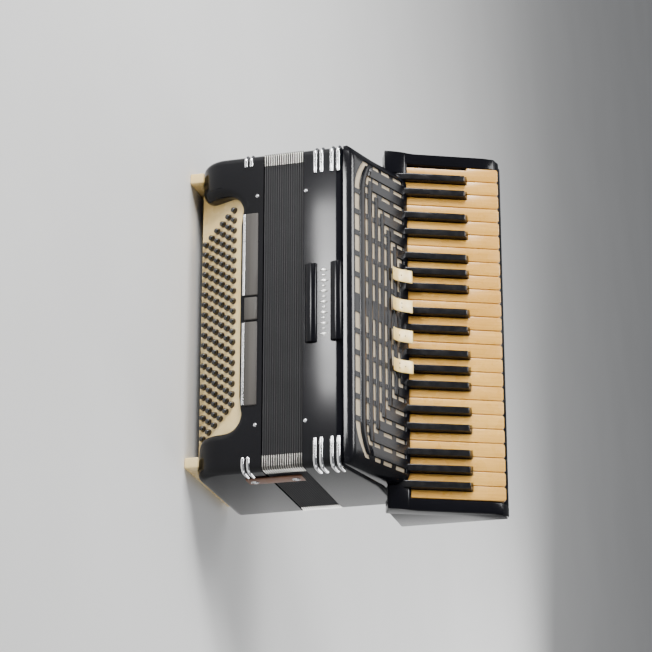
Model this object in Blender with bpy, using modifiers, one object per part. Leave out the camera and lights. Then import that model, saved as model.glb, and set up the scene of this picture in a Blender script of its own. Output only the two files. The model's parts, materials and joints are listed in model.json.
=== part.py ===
"""Piano accordion, 41 keys and 120 bass buttons, standing on the foot rails of its bass end.

X runs along the keyboard, from the highest note (-X) to the lowest (+X). Y runs from the
front (-Y) to the player's side (+Y). Z runs up from the foot rails, through the bellows,
to the outer edge of the keyboard. Metres throughout.
"""

import math

import bmesh
import bpy
from mathutils import Euler, Matrix, Vector

# Driving dimensions.
GAP = 0.0003
CASE_LENGTH = 0.448
CASE_DEPTH = 0.205
BAR_RELIEF = 0.006
STRAP_BOW = 0.038
FRONT = -(BAR_RELIEF + CASE_DEPTH + STRAP_BOW) / 2 + BAR_RELIEF
BACK = FRONT + CASE_DEPTH
WALL = 0.007
EDGE_RADIUS = 0.011

# Heights above the foot rails.
BASS_FACE_Z = 0.012
BASS_RIM_Z = 0.1080
TREBLE_RIM_Z = 0.1642
FRONT_PANEL_TOP_Z = 0.2184
TREBLE_BACK_Z = 0.2437

# Keyboard.
NATURALS = 24
KEY_PITCH = 0.020
KEY_TILT = math.radians(90 - 23.2)
KEY_SHOWN = 0.1274
SHARP_SHOWN = 0.0824
KEY_THICK = 0.012
KEY_SPLIT = 0.0006
SHARP_WIDTH = 0.0105
SHARP_RISE = 0.009
SHARP_SHIFT = 0.0024
KEY_REAR_DEPTH = 0.1223
KEY_REAR_Z = 0.2787
AXLE_TO_REAR = 0.026
AXLE_RADIUS = 0.002
KEY_TAIL = 0.004
BED_DROP = 0.007
TAIL_CLEAR = 0.001
BED_LIP = 0.006
BED_SEAT = 0.0005
CHEEK_THICK = 0.017
OCTAVE = ("a", "gs", "g", "fs", "f", "e", "ds", "d", "cs", "c", "b", "as")
SHIFT_OF_SHARP = {"cs": 1, "ds": -1, "fs": 1, "gs": 0, "as": -1}
TOP_OCTAVE = 6
KEY_COUNT = 41

# Grille cover and its register switches.
COVER_RIDGE_DEPTH = 0.009
COVER_RIDGE_Z = 0.2345
COVER_RIDGE_RADIUS = 0.012
COVER_TO_KEYS = 0.0035
COVER_THICK = 0.004
FRONT_BARS = ((0.0029, 0.0192), (0.0373, 0.0531))
BAR_HALF = 0.055
TOP_BREAK_DEPTH = 0.110
WINDOW_DEPTHS = (0.030, 0.100)
WINDOW_INSET = 0.030
SWITCH_COUNT = 4
SWITCH_PITCH = 0.0433
SWITCH_CENTRE_X = 0.001
SWITCH_WIDTH = 0.018
SWITCH_ROOT = (0.0805, 0.2665)
SWITCH_TIP = (0.106, 0.286)
SWITCH_SAG = 0.002
SWITCH_THICK = 0.002
SWITCH_STEPS = 6

# Bellows.
FOLDS = 18
FOLD_DEPTH = 0.005
BELLOWS_INSET = 0.0015
BELLOWS_BOARD = 0.022

# Treble reed blocks.
REED_HALF = 0.190
REED_SPINE_DEPTH = 0.100
REED_SPINE_WIDTH = 0.012
REED_ROW_DEPTHS = (0.030, 0.062, 0.130, 0.162)
REED_ROW_WIDTH = 0.018
SOUND_BOARD_DEPTHS = (0.024, 0.186)

# Bass button board.
BOARD_TILT = math.radians(114.9)
BOARD_TOP_DEPTH = 0.008
BOARD_TOP_Z = 0.0805
BOARD_WIDTH = 0.0783
BOARD_HALF_LENGTH = 0.174
BOARD_THICK = 0.003
RECESS_CORNER = 0.030
CHAMFER_DEPTH = 0.041
COLUMNS = 20
COLUMN_PITCH = 0.0146
ROWS = 6
BASS_ROWS = 2
ROW_PITCH = 0.0102
ROW_SLANT = 0.0075
FIRST_ROW_INSET = 0.0194
BUTTON_RADIUS = 0.0039
BUTTON_RISE = 0.0065
BUTTON_TRAVEL = 0.004
BUTTON_CENTRE_X = 0.006
CARRIER_THICK = 0.002
BUTTON_PLAY = 0.0005

# Bass end plate, air button, straps and bass register bar.
END_PLATE_THICK = 0.003
END_PLATE_FRONT = 0.0445
END_PLATE_BACK = 0.006
AIR_BUTTON_X = -0.150
AIR_BUTTON_DEPTH = 0.075
AIR_BUTTON_RADIUS = 0.009
AIR_BUTTON_RISE = 0.0045
AIR_BUTTON_TALL = 0.0072
AIR_BUTTON_PLAY = 0.0006
STRAP_HALF = 0.205
STRAP_TAB = 0.022
STRAP_WIDTH = 0.062
STRAP_LOW_Z = 0.026
STRAP_THICK = 0.004
STRAP_STEPS = 14
BELLOWS_STRAP_DEPTH = 0.030
BELLOWS_STRAP_WIDTH = 0.022
BELLOWS_STRAP_THICK = 0.003
BELLOWS_STRAP_Z = (0.078, 0.1542)
REGISTER_HALF = 0.016
REGISTER_RISE = 0.003
REGISTER_PLAY = 0.0005
REGISTER_POCKET = 0.006
REGISTER_Z = (0.0835, 0.1010)
RAIL_X = 0.203
RAIL_WIDTH = 0.015
RAIL_FRONT = 0.010
RAIL_BACK = CASE_DEPTH - 0.005
RAIL_NOSE_Z = 0.0195

ACROSS = (math.radians(90), 0, math.radians(90))


def clear_scene():
    for obj in list(bpy.data.objects):
        bpy.data.objects.remove(obj, do_unlink=True)


def collection(name):
    made = bpy.data.collections.new(name)
    bpy.context.scene.collection.children.link(made)
    return made


clear_scene()
PARTS = collection("piano_accordion")
CUTTERS = collection("cutters")


def material(name, colour, roughness, metallic=0.0):
    made = bpy.data.materials.new(name)
    made.use_nodes = True
    shader = made.node_tree.nodes["Principled BSDF"]
    shader.inputs["Base Color"].default_value = (*colour, 1)
    shader.inputs["Roughness"].default_value = roughness
    shader.inputs["Metallic"].default_value = metallic
    return made


BLACK = material("black_casing", (0.012, 0.012, 0.016), 0.12)
CREAM = material("cream_key", (0.80, 0.58, 0.30), 0.30)
BOARD_CREAM = material("cream_board", (0.86, 0.76, 0.58), 0.35)
IVORY = material("switch_ivory", (0.90, 0.78, 0.52), 0.35)
EBONY = material("ebony_key", (0.010, 0.010, 0.011), 0.20)
BUTTON_BLACK = material("black_button", (0.012, 0.012, 0.013), 0.15)
CLOTH = material("bellows_cloth", (0.045, 0.043, 0.046), 0.75)
GREY = material("grey_register_metal", (0.18, 0.17, 0.165), 0.35, 0.6)
CHROME = material("chrome_trim", (0.80, 0.80, 0.82), 0.20, 1.0)
SPRUCE = material("reed_block_wood", (0.55, 0.38, 0.20), 0.60)
HIDE = material("strap_leather", (0.16, 0.065, 0.03), 0.60)


def add(name, mesh, finish=None, parent=None, matrix=None, cutter=False):
    obj = bpy.data.objects.new(name, mesh)
    (CUTTERS if cutter else PARTS).objects.link(obj)
    if finish:
        mesh.materials.append(finish)
    if parent:
        obj.parent = parent
    if matrix:
        obj.matrix_basis = matrix
    if cutter:
        obj.hide_render = True
        obj.display_type = "WIRE"
    return obj


def pivot(name, location, turn=0.0):
    """An empty on a joint's axis, turned about X."""
    obj = bpy.data.objects.new(name, None)
    PARTS.objects.link(obj)
    obj.empty_display_size = 0.02
    obj.location = location
    obj.rotation_euler = (turn, 0, 0)
    return obj


def box_mesh(name, low, high):
    low, high = Vector(low), Vector(high)
    bm = bmesh.new()
    size = Matrix.Diagonal((*(high - low), 1))
    bmesh.ops.create_cube(bm, size=1, matrix=Matrix.Translation((low + high) / 2) @ size)
    mesh = bpy.data.meshes.new(name)
    bm.to_mesh(mesh)
    bm.free()
    return mesh


def box(name, low, high, **options):
    return add(name, box_mesh(name, low, high), **options)


def outline_mesh(name, points, low, high):
    """A flat outline in local X and Y, as a solid between the heights low and high on local Z."""
    curve = bpy.data.curves.new(name, "CURVE")
    curve.dimensions = "2D"
    curve.fill_mode = "BOTH"
    curve.extrude = (high - low) / 2
    spline = curve.splines.new("POLY")
    spline.points.add(len(points) - 1)
    for point, (x, y) in zip(spline.points, points):
        point.co = (x, y, 0, 1)
    spline.use_cyclic_u = True
    guide = bpy.data.objects.new(name + "_outline", curve)
    CUTTERS.objects.link(guide)
    bpy.context.view_layer.update()
    graph = bpy.context.evaluated_depsgraph_get()
    mesh = bpy.data.meshes.new_from_object(guide.evaluated_get(graph))
    bpy.data.objects.remove(guide)
    bm = bmesh.new()
    bm.from_mesh(mesh)
    bmesh.ops.remove_doubles(bm, verts=bm.verts, dist=1e-6)
    bmesh.ops.translate(bm, verts=bm.verts, vec=(0, 0, (high + low) / 2))
    bmesh.ops.recalc_face_normals(bm, faces=bm.faces)
    bm.to_mesh(mesh)
    bm.free()
    mesh.name = name
    return mesh


def section(name, outline, low_x, high_x, **options):
    """A solid with its outline in Y and Z, between two places along X."""
    obj = add(name, outline_mesh(name, outline, low_x, high_x), **options)
    obj.rotation_euler = ACROSS
    return obj


def cylinder(name, radius, length, sides, **options):
    """A cylinder along local Z, standing on local Z = 0."""
    bm = bmesh.new()
    bmesh.ops.create_cone(
        bm,
        cap_ends=True,
        segments=sides,
        radius1=radius,
        radius2=radius,
        depth=length,
        matrix=Matrix.Translation((0, 0, length / 2)),
    )
    mesh = bpy.data.meshes.new(name)
    bm.to_mesh(mesh)
    bm.free()
    mesh.shade_smooth()
    mesh.set_sharp_from_angle(angle=math.radians(40))
    return add(name, mesh, **options)


def boolean(target, other, operation="DIFFERENCE"):
    modifier = target.modifiers.new(operation.lower(), "BOOLEAN")
    modifier.operation = operation
    modifier.object = other
    modifier.solver = "EXACT"


def bevel(target, width, segments=2, angle=35):
    modifier = target.modifiers.new("bevel", "BEVEL")
    modifier.width = width
    modifier.segments = segments
    modifier.limit_method = "ANGLE"
    modifier.angle_limit = math.radians(angle)


def trim(target, low_z, high_z):
    """Cuts away everything between two heights."""
    slab = box_mesh(target.name + "_trim", (-0.3, -0.2, low_z), (0.3, 0.2, high_z))
    boolean(target, add(target.name + "_trim", slab, cutter=True))


def arc(centre, radius, start, end, steps):
    """Points of an arc in a plane, angles in degrees."""
    angles = (math.radians(start + (end - start) * i / steps) for i in range(steps + 1))
    return [(centre[0] + radius * math.cos(a), centre[1] + radius * math.sin(a)) for a in angles]


def on_section(points):
    """Depths behind the front plane, with heights, as Y and Z."""
    return [(FRONT + depth, height) for depth, height in points]


# The key plane, measured from the axle that all keys turn on.
KEY_ALONG = Vector((0, math.cos(KEY_TILT), math.sin(KEY_TILT)))
KEY_NORMAL = Vector((0, -math.sin(KEY_TILT), math.cos(KEY_TILT)))
KEY_REAR = Vector((0, FRONT + KEY_REAR_DEPTH, KEY_REAR_Z))
KEY_TOP = KEY_THICK + AXLE_RADIUS + GAP
AXLE = KEY_REAR - KEY_ALONG * AXLE_TO_REAR - KEY_NORMAL * KEY_TOP
KEY_FRONT = AXLE_TO_REAR + KEY_SHOWN
KEYBOARD_HALF = NATURALS * KEY_PITCH / 2


def key_plane(along, above):
    """Y and Z of a point given in the key plane's own measures."""
    point = AXLE + KEY_ALONG * along + KEY_NORMAL * above
    return point.y, point.z


def note_names():
    """(letter, octave) of each key, from the highest down."""
    octave = TOP_OCTAVE
    for i in range(KEY_COUNT):
        letter = OCTAVE[i % len(OCTAVE)]
        if letter == "b":
            octave -= 1
        yield letter, octave


def key_places():
    """(node name, X of its centre, is a sharp) of each key, from the highest down."""
    x = -KEYBOARD_HALF - KEY_PITCH / 2
    for letter, octave in note_names():
        name = f"key_{letter.replace('s', '_sharp_')}{octave}"
        if letter.endswith("s"):
            yield name, x + KEY_PITCH / 2 + SHIFT_OF_SHARP[letter] * SHARP_SHIFT, True
        else:
            x += KEY_PITCH
            yield name, x, False


def natural_outline(x, sharps):
    """The outline of a natural key, cut back beside each sharp that touches it."""
    half = (KEY_PITCH - KEY_SPLIT) / 2
    shoulder = AXLE_TO_REAR + SHARP_SHOWN + KEY_SPLIT
    clear = SHARP_WIDTH / 2 + KEY_SPLIT
    left = max([-half] + [s + clear - x for s in sharps if s < x])
    right = min([half] + [s - clear - x for s in sharps if s > x])
    points = [(left, -KEY_TAIL), (right, -KEY_TAIL)]
    if right < half:
        points += [(right, shoulder), (half, shoulder)]
    points += [(half, KEY_FRONT), (-half, KEY_FRONT)]
    if left > -half:
        points += [(-half, shoulder), (left, shoulder)]
    return points


def sharp_profile():
    """A sharp key from the side: a low tail under the cover, then the raised black top."""
    low = AXLE_RADIUS + GAP
    raised = AXLE_TO_REAR + 0.0015
    end = AXLE_TO_REAR + SHARP_SHOWN
    nose = 0.004
    return [
        (-KEY_TAIL, low),
        (end, low),
        (end, KEY_TOP + SHARP_RISE - nose),
        (end - nose, KEY_TOP + SHARP_RISE),
        (raised, KEY_TOP + SHARP_RISE),
        (raised, KEY_TOP),
        (-KEY_TAIL, KEY_TOP),
    ]


def make_keys():
    places = list(key_places())
    # The highest A is cut back on both sides, as if an A sharp followed it.
    beyond = -KEYBOARD_HALF - SHARP_SHIFT
    sharps = [x for _, x, is_sharp in places if is_sharp] + [beyond]
    for name, x, is_sharp in places:
        hinge = pivot(name + "_hinge", (x, AXLE.y, AXLE.z), KEY_TILT)
        if is_sharp:
            half = SHARP_WIDTH / 2
            mesh = outline_mesh(name, sharp_profile(), -half, half)
            add(name, mesh, EBONY, hinge, Euler(ACROSS).to_matrix().to_4x4())
        else:
            near = [s for s in sharps if abs(s - x) < KEY_PITCH * 0.7]
            outline = natural_outline(x, near)
            mesh = outline_mesh(name, outline, AXLE_RADIUS + GAP, KEY_TOP)
            add(name, mesh, CREAM, hinge)


def make_keybed():
    """The bed behind the keys, with a cheek at each end and the back rail that holds the axle."""
    bed_above = AXLE_RADIUS + GAP - BED_DROP
    lip = KEY_FRONT + BED_LIP
    half = KEYBOARD_HALF + CHEEK_THICK + GAP
    foot = (BACK, TREBLE_BACK_Z + BED_SEAT)
    bed = [
        key_plane(0, bed_above),
        key_plane(lip - 0.004, bed_above),
        key_plane(lip, bed_above - 0.004),
        (BACK, key_plane(lip, bed_above - 0.004)[1] + 0.001),
        foot,
        (key_plane(0, bed_above)[0], foot[1]),
    ]
    inner = half - CHEEK_THICK / 2
    keybed = section("keybed", bed, -inner, inner, finish=BLACK)
    cheek = [
        key_plane(-KEY_TAIL - 0.002, bed_above - 0.001),
        key_plane(-KEY_TAIL - 0.002, KEY_TOP + 0.006),
        key_plane(AXLE_TO_REAR - 0.004, KEY_TOP + 0.003),
        key_plane(AXLE_TO_REAR + 0.004, KEY_TOP),
        key_plane(KEY_FRONT - 0.020, KEY_TOP - 0.001),
        key_plane(KEY_FRONT, KEY_TOP - 0.006),
        key_plane(lip - 0.001, bed_above - 0.001),
    ]
    # Each shoulder carries on the line of the grille cover, over the tails of the end keys.
    shoulder = [
        key_plane(-KEY_TAIL - 0.003, KEY_TOP + TAIL_CLEAR),
        key_plane(AXLE_TO_REAR - 0.001, KEY_TOP + TAIL_CLEAR),
        key_plane(AXLE_TO_REAR - 0.003, KEY_TOP + 0.004),
        key_plane(AXLE_TO_REAR - 0.010, KEY_TOP + 0.011),
        key_plane(-KEY_TAIL - 0.003, KEY_TOP + 0.013),
    ]
    for side in (-1, 1):
        ends = sorted((side * half, side * (KEYBOARD_HALF + GAP)))
        name = "cheek_high" if side < 0 else "cheek_low"
        boolean(keybed, section(name, cheek, *ends, cutter=True), "UNION")
        ends = sorted((side * (half - GAP), side * (CASE_LENGTH / 2 + GAP)))
        name = "shoulder_high" if side < 0 else "shoulder_low"
        boolean(keybed, section(name, shoulder, *ends, cutter=True), "UNION")
    rod = cylinder("key_axle", AXLE_RADIUS, 2 * KEYBOARD_HALF, 12, finish=CHROME)
    rod.location = (-KEYBOARD_HALF, AXLE.y, AXLE.z)
    rod.rotation_euler = (0, math.radians(90), 0)


def front_bars():
    """Both raised half-round bars of the front panel, as one outline that starts inside the wall."""
    root, foot = 0.003, 0.005
    first, second = FRONT_BARS
    outline = [(foot, TREBLE_RIM_Z + first[0] + 0.001)]
    for low, high in (first, second):
        radius = (high - low) / 2
        middle = TREBLE_RIM_Z + (low + high) / 2
        flatten = (BAR_RELIEF + 0.001) / radius
        half_round = arc((0, middle), radius, 270, 90, 8)
        outline.append((root, middle - radius))
        outline += [(0.001 + depth * flatten, z) for depth, z in half_round]
        outline.append((root, middle + radius))
    outline.append((foot, TREBLE_RIM_Z + second[1] - 0.001))
    return section("front_bars", on_section(outline), -BAR_HALF, BAR_HALF, cutter=True)


def make_treble_casing():
    """The treble casing: a shell open to the bellows, with the key levers' way out at the top."""
    half = CASE_LENGTH / 2
    top = FRONT_PANEL_TOP_Z
    skirt = TREBLE_RIM_Z - 2 * EDGE_RADIUS
    outer = on_section([
        (0, skirt),
        (0, top),
        (TOP_BREAK_DEPTH, TREBLE_BACK_Z),
        (CASE_DEPTH, TREBLE_BACK_Z),
        (CASE_DEPTH, skirt),
    ])
    inner = on_section([
        (WALL, skirt - WALL),
        (WALL, top - WALL),
        (TOP_BREAK_DEPTH, TREBLE_BACK_Z - WALL),
        (CASE_DEPTH - WALL, TREBLE_BACK_Z - WALL),
        (CASE_DEPTH - WALL, skirt - WALL),
    ])
    window_front, window_back = WINDOW_DEPTHS
    window_low, window_high = top - WINDOW_INSET, TREBLE_BACK_Z + WINDOW_INSET
    window = on_section([
        (window_front, window_low),
        (window_front, window_high),
        (window_back, window_high),
        (window_back, window_low),
    ])
    casing = section("treble_casing", outer, -half, half, finish=BLACK)
    bevel(casing, EDGE_RADIUS, 3, 60)
    boolean(casing, front_bars(), "UNION")
    boolean(casing, section("treble_hollow", inner, WALL - half, half - WALL, cutter=True))
    side = half - WINDOW_INSET
    boolean(casing, section("pallet_window", window, -side, side, cutter=True))
    trim(casing, skirt - 0.02, TREBLE_RIM_Z)


def cover_outline(inset):
    """The grille cover from the front panel, over its ridge and down to the keys, less an inset."""
    ridge_centre = (COVER_RIDGE_DEPTH + 0.003, COVER_RIDGE_Z - COVER_RIDGE_RADIUS)
    ridge = arc(ridge_centre, COVER_RIDGE_RADIUS - inset, 180, 110, 4)
    key_edge = (KEY_REAR_DEPTH - COVER_TO_KEYS - inset * 0.3, KEY_REAR_Z - inset)
    return ridge, key_edge


def make_grille():
    """The grille cover: a shell over the pallets. Its sound slots are left to the looks."""
    half = CASE_LENGTH / 2
    seat = FRONT_PANEL_TOP_Z + GAP
    ridge, edge = cover_outline(0)
    outer = [(0.0005, seat + 0.0005)] + ridge + [
        edge,
        (edge[0] + 0.0005, edge[1] - COVER_THICK),
        (TOP_BREAK_DEPTH - 0.0005, TREBLE_BACK_Z + GAP + 0.001),
    ]
    cover = section("treble_grille", on_section(outer), -half, half, finish=BLACK)
    bevel(cover, COVER_THICK * 0.4, 2, 70)
    ridge, edge = cover_outline(COVER_THICK)
    below = seat - 0.020
    inner = [(0.006, below)] + ridge + [edge, (edge[0] + 0.006, edge[1] - 0.002), (0.130, below)]
    side = half - COVER_THICK
    boolean(cover, section("grille_hollow", on_section(inner), -side, side, cutter=True))
    behind = [
        key_plane(-0.020, KEY_TOP + TAIL_CLEAR),
        key_plane(AXLE_TO_REAR + 0.010, KEY_TOP + TAIL_CLEAR),
        key_plane(AXLE_TO_REAR + 0.010, -0.020),
        key_plane(-0.020, -0.020),
    ]
    key_way = section("key_way", behind, -KEYBOARD_HALF, KEYBOARD_HALF, cutter=True)
    boolean(cover, key_way)


def switch_profile():
    """A register switch from the side, measured from its root: it flattens towards its tip."""
    along = Vector(SWITCH_TIP) - Vector(SWITCH_ROOT)
    out = Vector((-along.y, along.x)).normalized()
    steps = [i / SWITCH_STEPS for i in range(SWITCH_STEPS + 1)]
    under = [along * t + out * -SWITCH_SAG * 4 * t * (1 - t) for t in steps]
    return [tuple(p) for p in under] + [tuple(p + out * SWITCH_THICK) for p in reversed(under)]


def make_switches():
    """Four register switches that rock about their roots, just above the cover."""
    depth, height = SWITCH_ROOT
    for i in range(SWITCH_COUNT):
        x = SWITCH_CENTRE_X + (i - (SWITCH_COUNT - 1) / 2) * SWITCH_PITCH
        hinge = pivot(f"switch_{i + 1}_hinge", (x, FRONT + depth, height))
        half = SWITCH_WIDTH / 2
        name = f"register_switch_{i + 1}"
        section(name, switch_profile(), -half, half, finish=IVORY, parent=hinge)


def rectangle(half_x, low_y, high_y, z):
    return [(-half_x, low_y, z), (half_x, low_y, z), (half_x, high_y, z), (-half_x, high_y, z)]


def make_bellows():
    """The folded bellows: a square tube whose outer wall is a row of pleats."""
    low, high = BASS_RIM_Z + GAP, TREBLE_RIM_Z - GAP
    half = CASE_LENGTH / 2 - BELLOWS_INSET
    near, far = FRONT + BELLOWS_INSET, BACK - BELLOWS_INSET
    levels = [low + (high - low) * i / (2 * FOLDS) for i in range(2 * FOLDS + 1)]
    sizes = [(FOLD_DEPTH * (i % 2), z) for i, z in enumerate(levels)]
    sizes += [(BELLOWS_BOARD, high), (BELLOWS_BOARD, low)]
    bm = bmesh.new()
    loops = []
    for inset, z in sizes:
        corners = rectangle(half - inset, near + inset, far - inset, z)
        loops.append([bm.verts.new(corner) for corner in corners])
    for i, lower in enumerate(loops):
        upper = loops[(i + 1) % len(loops)]
        for j in range(4):
            bm.faces.new((lower[j], lower[(j + 1) % 4], upper[(j + 1) % 4], upper[j]))
    bmesh.ops.recalc_face_normals(bm, faces=bm.faces)
    mesh = bpy.data.meshes.new("bellows")
    bm.to_mesh(mesh)
    bm.free()
    add("bellows", mesh, CLOTH)


def rounded_recess(half_x, low, high, radius):
    """Half-open recess outline on the board: rounded corners on the bellows side only."""
    right = arc((half_x - radius, high - radius), radius, 0, 90, 5)
    left = arc((radius - half_x, high - radius), radius, 90, 180, 5)
    return [(half_x, low)] + right + left + [(-half_x, low)]


def make_bass_casing(board):
    """The bass casing: a shell open to the bellows, cut away in front of the button board."""
    half = CASE_LENGTH / 2
    skirt = BASS_RIM_Z + 2 * EDGE_RADIUS
    outer = on_section([
        (0, skirt),
        (0, 0.036),
        (0.005, 0.026),
        (0.014, 0.0205),
        (CHAMFER_DEPTH, BASS_FACE_Z),
        (CASE_DEPTH, BASS_FACE_Z),
        (CASE_DEPTH, skirt),
    ])
    inner = on_section([
        (WALL, skirt + WALL),
        (WALL, 0.040),
        (0.018, 0.0205 + WALL),
        (CHAMFER_DEPTH + 0.002, BASS_FACE_Z + WALL),
        (CASE_DEPTH - WALL, BASS_FACE_Z + WALL),
        (CASE_DEPTH - WALL, skirt + WALL),
    ])
    casing = section("bass_casing", outer, -half, half, finish=BLACK)
    bevel(casing, EDGE_RADIUS, 3, 60)
    low, high = REGISTER_Z
    pocket_half = REGISTER_HALF + REGISTER_PLAY
    pocket = box(
        "register_pocket",
        (-pocket_half, FRONT - REGISTER_RISE, low - REGISTER_PLAY),
        (pocket_half, FRONT + REGISTER_POCKET, high + REGISTER_PLAY),
        cutter=True,
    )
    boolean(casing, pocket)
    boolean(casing, section("bass_hollow", inner, WALL - half, half - WALL, cutter=True))
    hole = cylinder("air_hole", AIR_BUTTON_RADIUS + AIR_BUTTON_PLAY, 0.03, 16, cutter=True)
    hole.location = (AIR_BUTTON_X, FRONT + AIR_BUTTON_DEPTH, 0)
    boolean(casing, hole)
    trim(casing, BASS_RIM_Z, skirt + 0.02)
    recess = rounded_recess(BOARD_HALF_LENGTH, -BOARD_WIDTH - 0.030, 0, RECESS_CORNER)
    mesh = outline_mesh("button_recess", recess, -0.030, 0.060)
    boolean(casing, add("button_recess", mesh, None, board, cutter=True))


def make_bass_side():
    """The casing, the slanted button board in it and the two groups of buttons."""
    board_top = Vector((0, FRONT + BOARD_TOP_DEPTH, BOARD_TOP_Z))
    board = pivot("board_plane", board_top, BOARD_TILT)
    make_bass_casing(board)
    edge = rounded_recess(BOARD_HALF_LENGTH - GAP, -BOARD_WIDTH, -GAP, RECESS_CORNER - GAP)
    mesh = outline_mesh("bass_button_board", edge, -BOARD_THICK, 0)
    plate = add("bass_button_board", mesh, BOARD_CREAM, board)
    margin = BUTTON_RADIUS + BUTTON_PLAY
    for row in range(ROWS):
        x, y = button_place(0, row)
        end = button_place(COLUMNS - 1, row)[0]
        low, high = (x - margin, y - margin, -0.010), (end + margin, y + margin, 0.010)
        name = f"slot_{row + 1}"
        boolean(plate, box(name, low, high, parent=board, cutter=True))
    make_button_rows("bass_buttons", range(BASS_ROWS), board)
    make_button_rows("chord_buttons", range(BASS_ROWS, ROWS), board)


def button_place(column, row):
    """X and Y of a bass button on the board."""
    along = (column - (COLUMNS - 1) / 2) * COLUMN_PITCH
    slant = (row - (ROWS - 1) / 2) * ROW_SLANT
    return BUTTON_CENTRE_X + along + slant, -FIRST_ROW_INSET - row * ROW_PITCH


def make_button_rows(name, rows, board):
    """Rows of buttons standing on one carrier plate, which lies behind the board."""
    behind = -BOARD_THICK - BUTTON_TRAVEL - 0.0015
    first, last = button_place(0, rows[0]), button_place(COLUMNS - 1, rows[-1])
    edge = BUTTON_RADIUS + BUTTON_PLAY
    low = (first[0] - edge, last[1] - edge, behind - CARRIER_THICK)
    high = (last[0] + edge, first[1] + edge, behind)
    bottom = behind - CARRIER_THICK / 2
    middle = (BUTTON_RISE + bottom) / 2
    turn = Matrix.Rotation(math.radians(22.5), 4, "Z")
    bm = bmesh.new()
    for row in rows:
        for column in range(COLUMNS):
            bmesh.ops.create_cone(
                bm,
                cap_ends=True,
                segments=8,
                radius1=BUTTON_RADIUS,
                radius2=BUTTON_RADIUS,
                depth=BUTTON_RISE - bottom,
                matrix=Matrix.Translation((*button_place(column, row), middle)) @ turn,
            )
    mesh = bpy.data.meshes.new(name + "_stems")
    bm.to_mesh(mesh)
    bm.free()
    stems = add(name + "_stems", mesh, None, board, cutter=True)
    carrier = box(name, low, high, finish=BUTTON_BLACK, parent=board)
    boolean(carrier, stems, "UNION")


def make_end_plate():
    """The bass end plate, with the two foot rails that the accordion stands on."""
    low = BASS_FACE_Z - GAP - END_PLATE_THICK
    half = RAIL_X - RAIL_WIDTH / 2 + 0.001
    plate = box(
        "bass_end_plate",
        (-half, FRONT + END_PLATE_FRONT, low),
        (half, BACK - END_PLATE_BACK, BASS_FACE_Z - GAP),
        finish=BLACK,
    )
    rail = on_section([
        (RAIL_FRONT, 0),
        (RAIL_FRONT, RAIL_NOSE_Z),
        (RAIL_FRONT + 0.0035, RAIL_NOSE_Z),
        (CHAMFER_DEPTH - 0.0005, BASS_FACE_Z - GAP),
        (RAIL_BACK, BASS_FACE_Z - GAP - 0.001),
        (RAIL_BACK, 0),
    ])
    for side in (-1, 1):
        x = side * RAIL_X
        name = "rail_high" if side < 0 else "rail_low"
        foot = section(name, rail, x - RAIL_WIDTH / 2, x + RAIL_WIDTH / 2, cutter=True)
        boolean(plate, foot, "UNION")
    boolean(plate, bpy.data.objects["air_hole"])
    button = cylinder("air_button", AIR_BUTTON_RADIUS, AIR_BUTTON_TALL, 16, finish=BOARD_CREAM)
    button.location = (AIR_BUTTON_X, FRONT + AIR_BUTTON_DEPTH, low - AIR_BUTTON_RISE)


def strap_outline():
    """The hand strap seen along Z: flat ends on the casing's back, bowed out between them."""
    ends, run = STRAP_HALF, STRAP_HALF - STRAP_TAB
    steps = [i / STRAP_STEPS * 2 - 1 for i in range(STRAP_STEPS + 1)]
    rise = STRAP_BOW - STRAP_THICK - GAP
    bow = [(t * run, BACK + GAP + rise * math.cos(t * math.pi / 2) ** 0.8) for t in steps]
    inner = [(-ends, BACK + GAP)] + bow + [(ends, BACK + GAP)]
    return inner + [(x, y + STRAP_THICK) for x, y in reversed(inner)]


def make_straps():
    """The hand strap on the player's side, and the strap that keeps the bellows shut."""
    top = STRAP_LOW_Z + STRAP_WIDTH
    add("bass_strap", outline_mesh("bass_strap", strap_outline(), STRAP_LOW_Z, top), HIDE)
    x, y = CASE_LENGTH / 2 + GAP, FRONT + BELLOWS_STRAP_DEPTH
    low, high = BELLOWS_STRAP_Z
    end = (x + BELLOWS_STRAP_THICK, y + BELLOWS_STRAP_WIDTH, high)
    box("bellows_strap", (x, y, low), end, finish=HIDE)


def make_reed_block():
    """The treble reed blocks on their sound board, inside the casing."""
    low, high = TREBLE_RIM_Z + 0.001, FRONT_PANEL_TOP_Z - WALL - 0.006
    middle = FRONT + REED_SPINE_DEPTH
    spine = box(
        "treble_reed_block",
        (-REED_HALF, middle, low),
        (REED_HALF, middle + REED_SPINE_WIDTH, high),
        finish=SPRUCE,
    )
    row_half = REED_HALF - 0.005
    for i, depth in enumerate(REED_ROW_DEPTHS):
        near = (-row_half, FRONT + depth, low + 0.001)
        far = (row_half, FRONT + depth + REED_ROW_WIDTH, high - 0.003)
        boolean(spine, box(f"reed_row_{i + 1}", near, far, cutter=True), "UNION")
    front, back = SOUND_BOARD_DEPTHS
    board_half = REED_HALF + 0.005
    near = (-board_half, FRONT + front, high - 0.008)
    far = (board_half, FRONT + back, high - 0.004)
    boolean(spine, box("sound_board", near, far, cutter=True), "UNION")


def make_register_bar():
    """The bass register bar, which pushes into its pocket in the front ledge."""
    low, high = REGISTER_Z
    half, deep = REGISTER_HALF, REGISTER_RISE
    box("bass_register_bar", (-half, FRONT - deep, low), (half, FRONT + deep, high), finish=GREY)


make_keys()
make_keybed()
make_treble_casing()
make_grille()
make_switches()
make_bellows()
make_bass_side()
make_end_plate()
make_straps()
make_reed_block()
make_register_bar()
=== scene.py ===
"""The looks of the piano accordion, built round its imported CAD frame.

X runs along the keyboard from the high notes (-X) to the low ones, -Y is the front, and Z runs
up from the foot rails, through the bellows, to the keyboard's outer edge. Metres.
"""

import math

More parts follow.
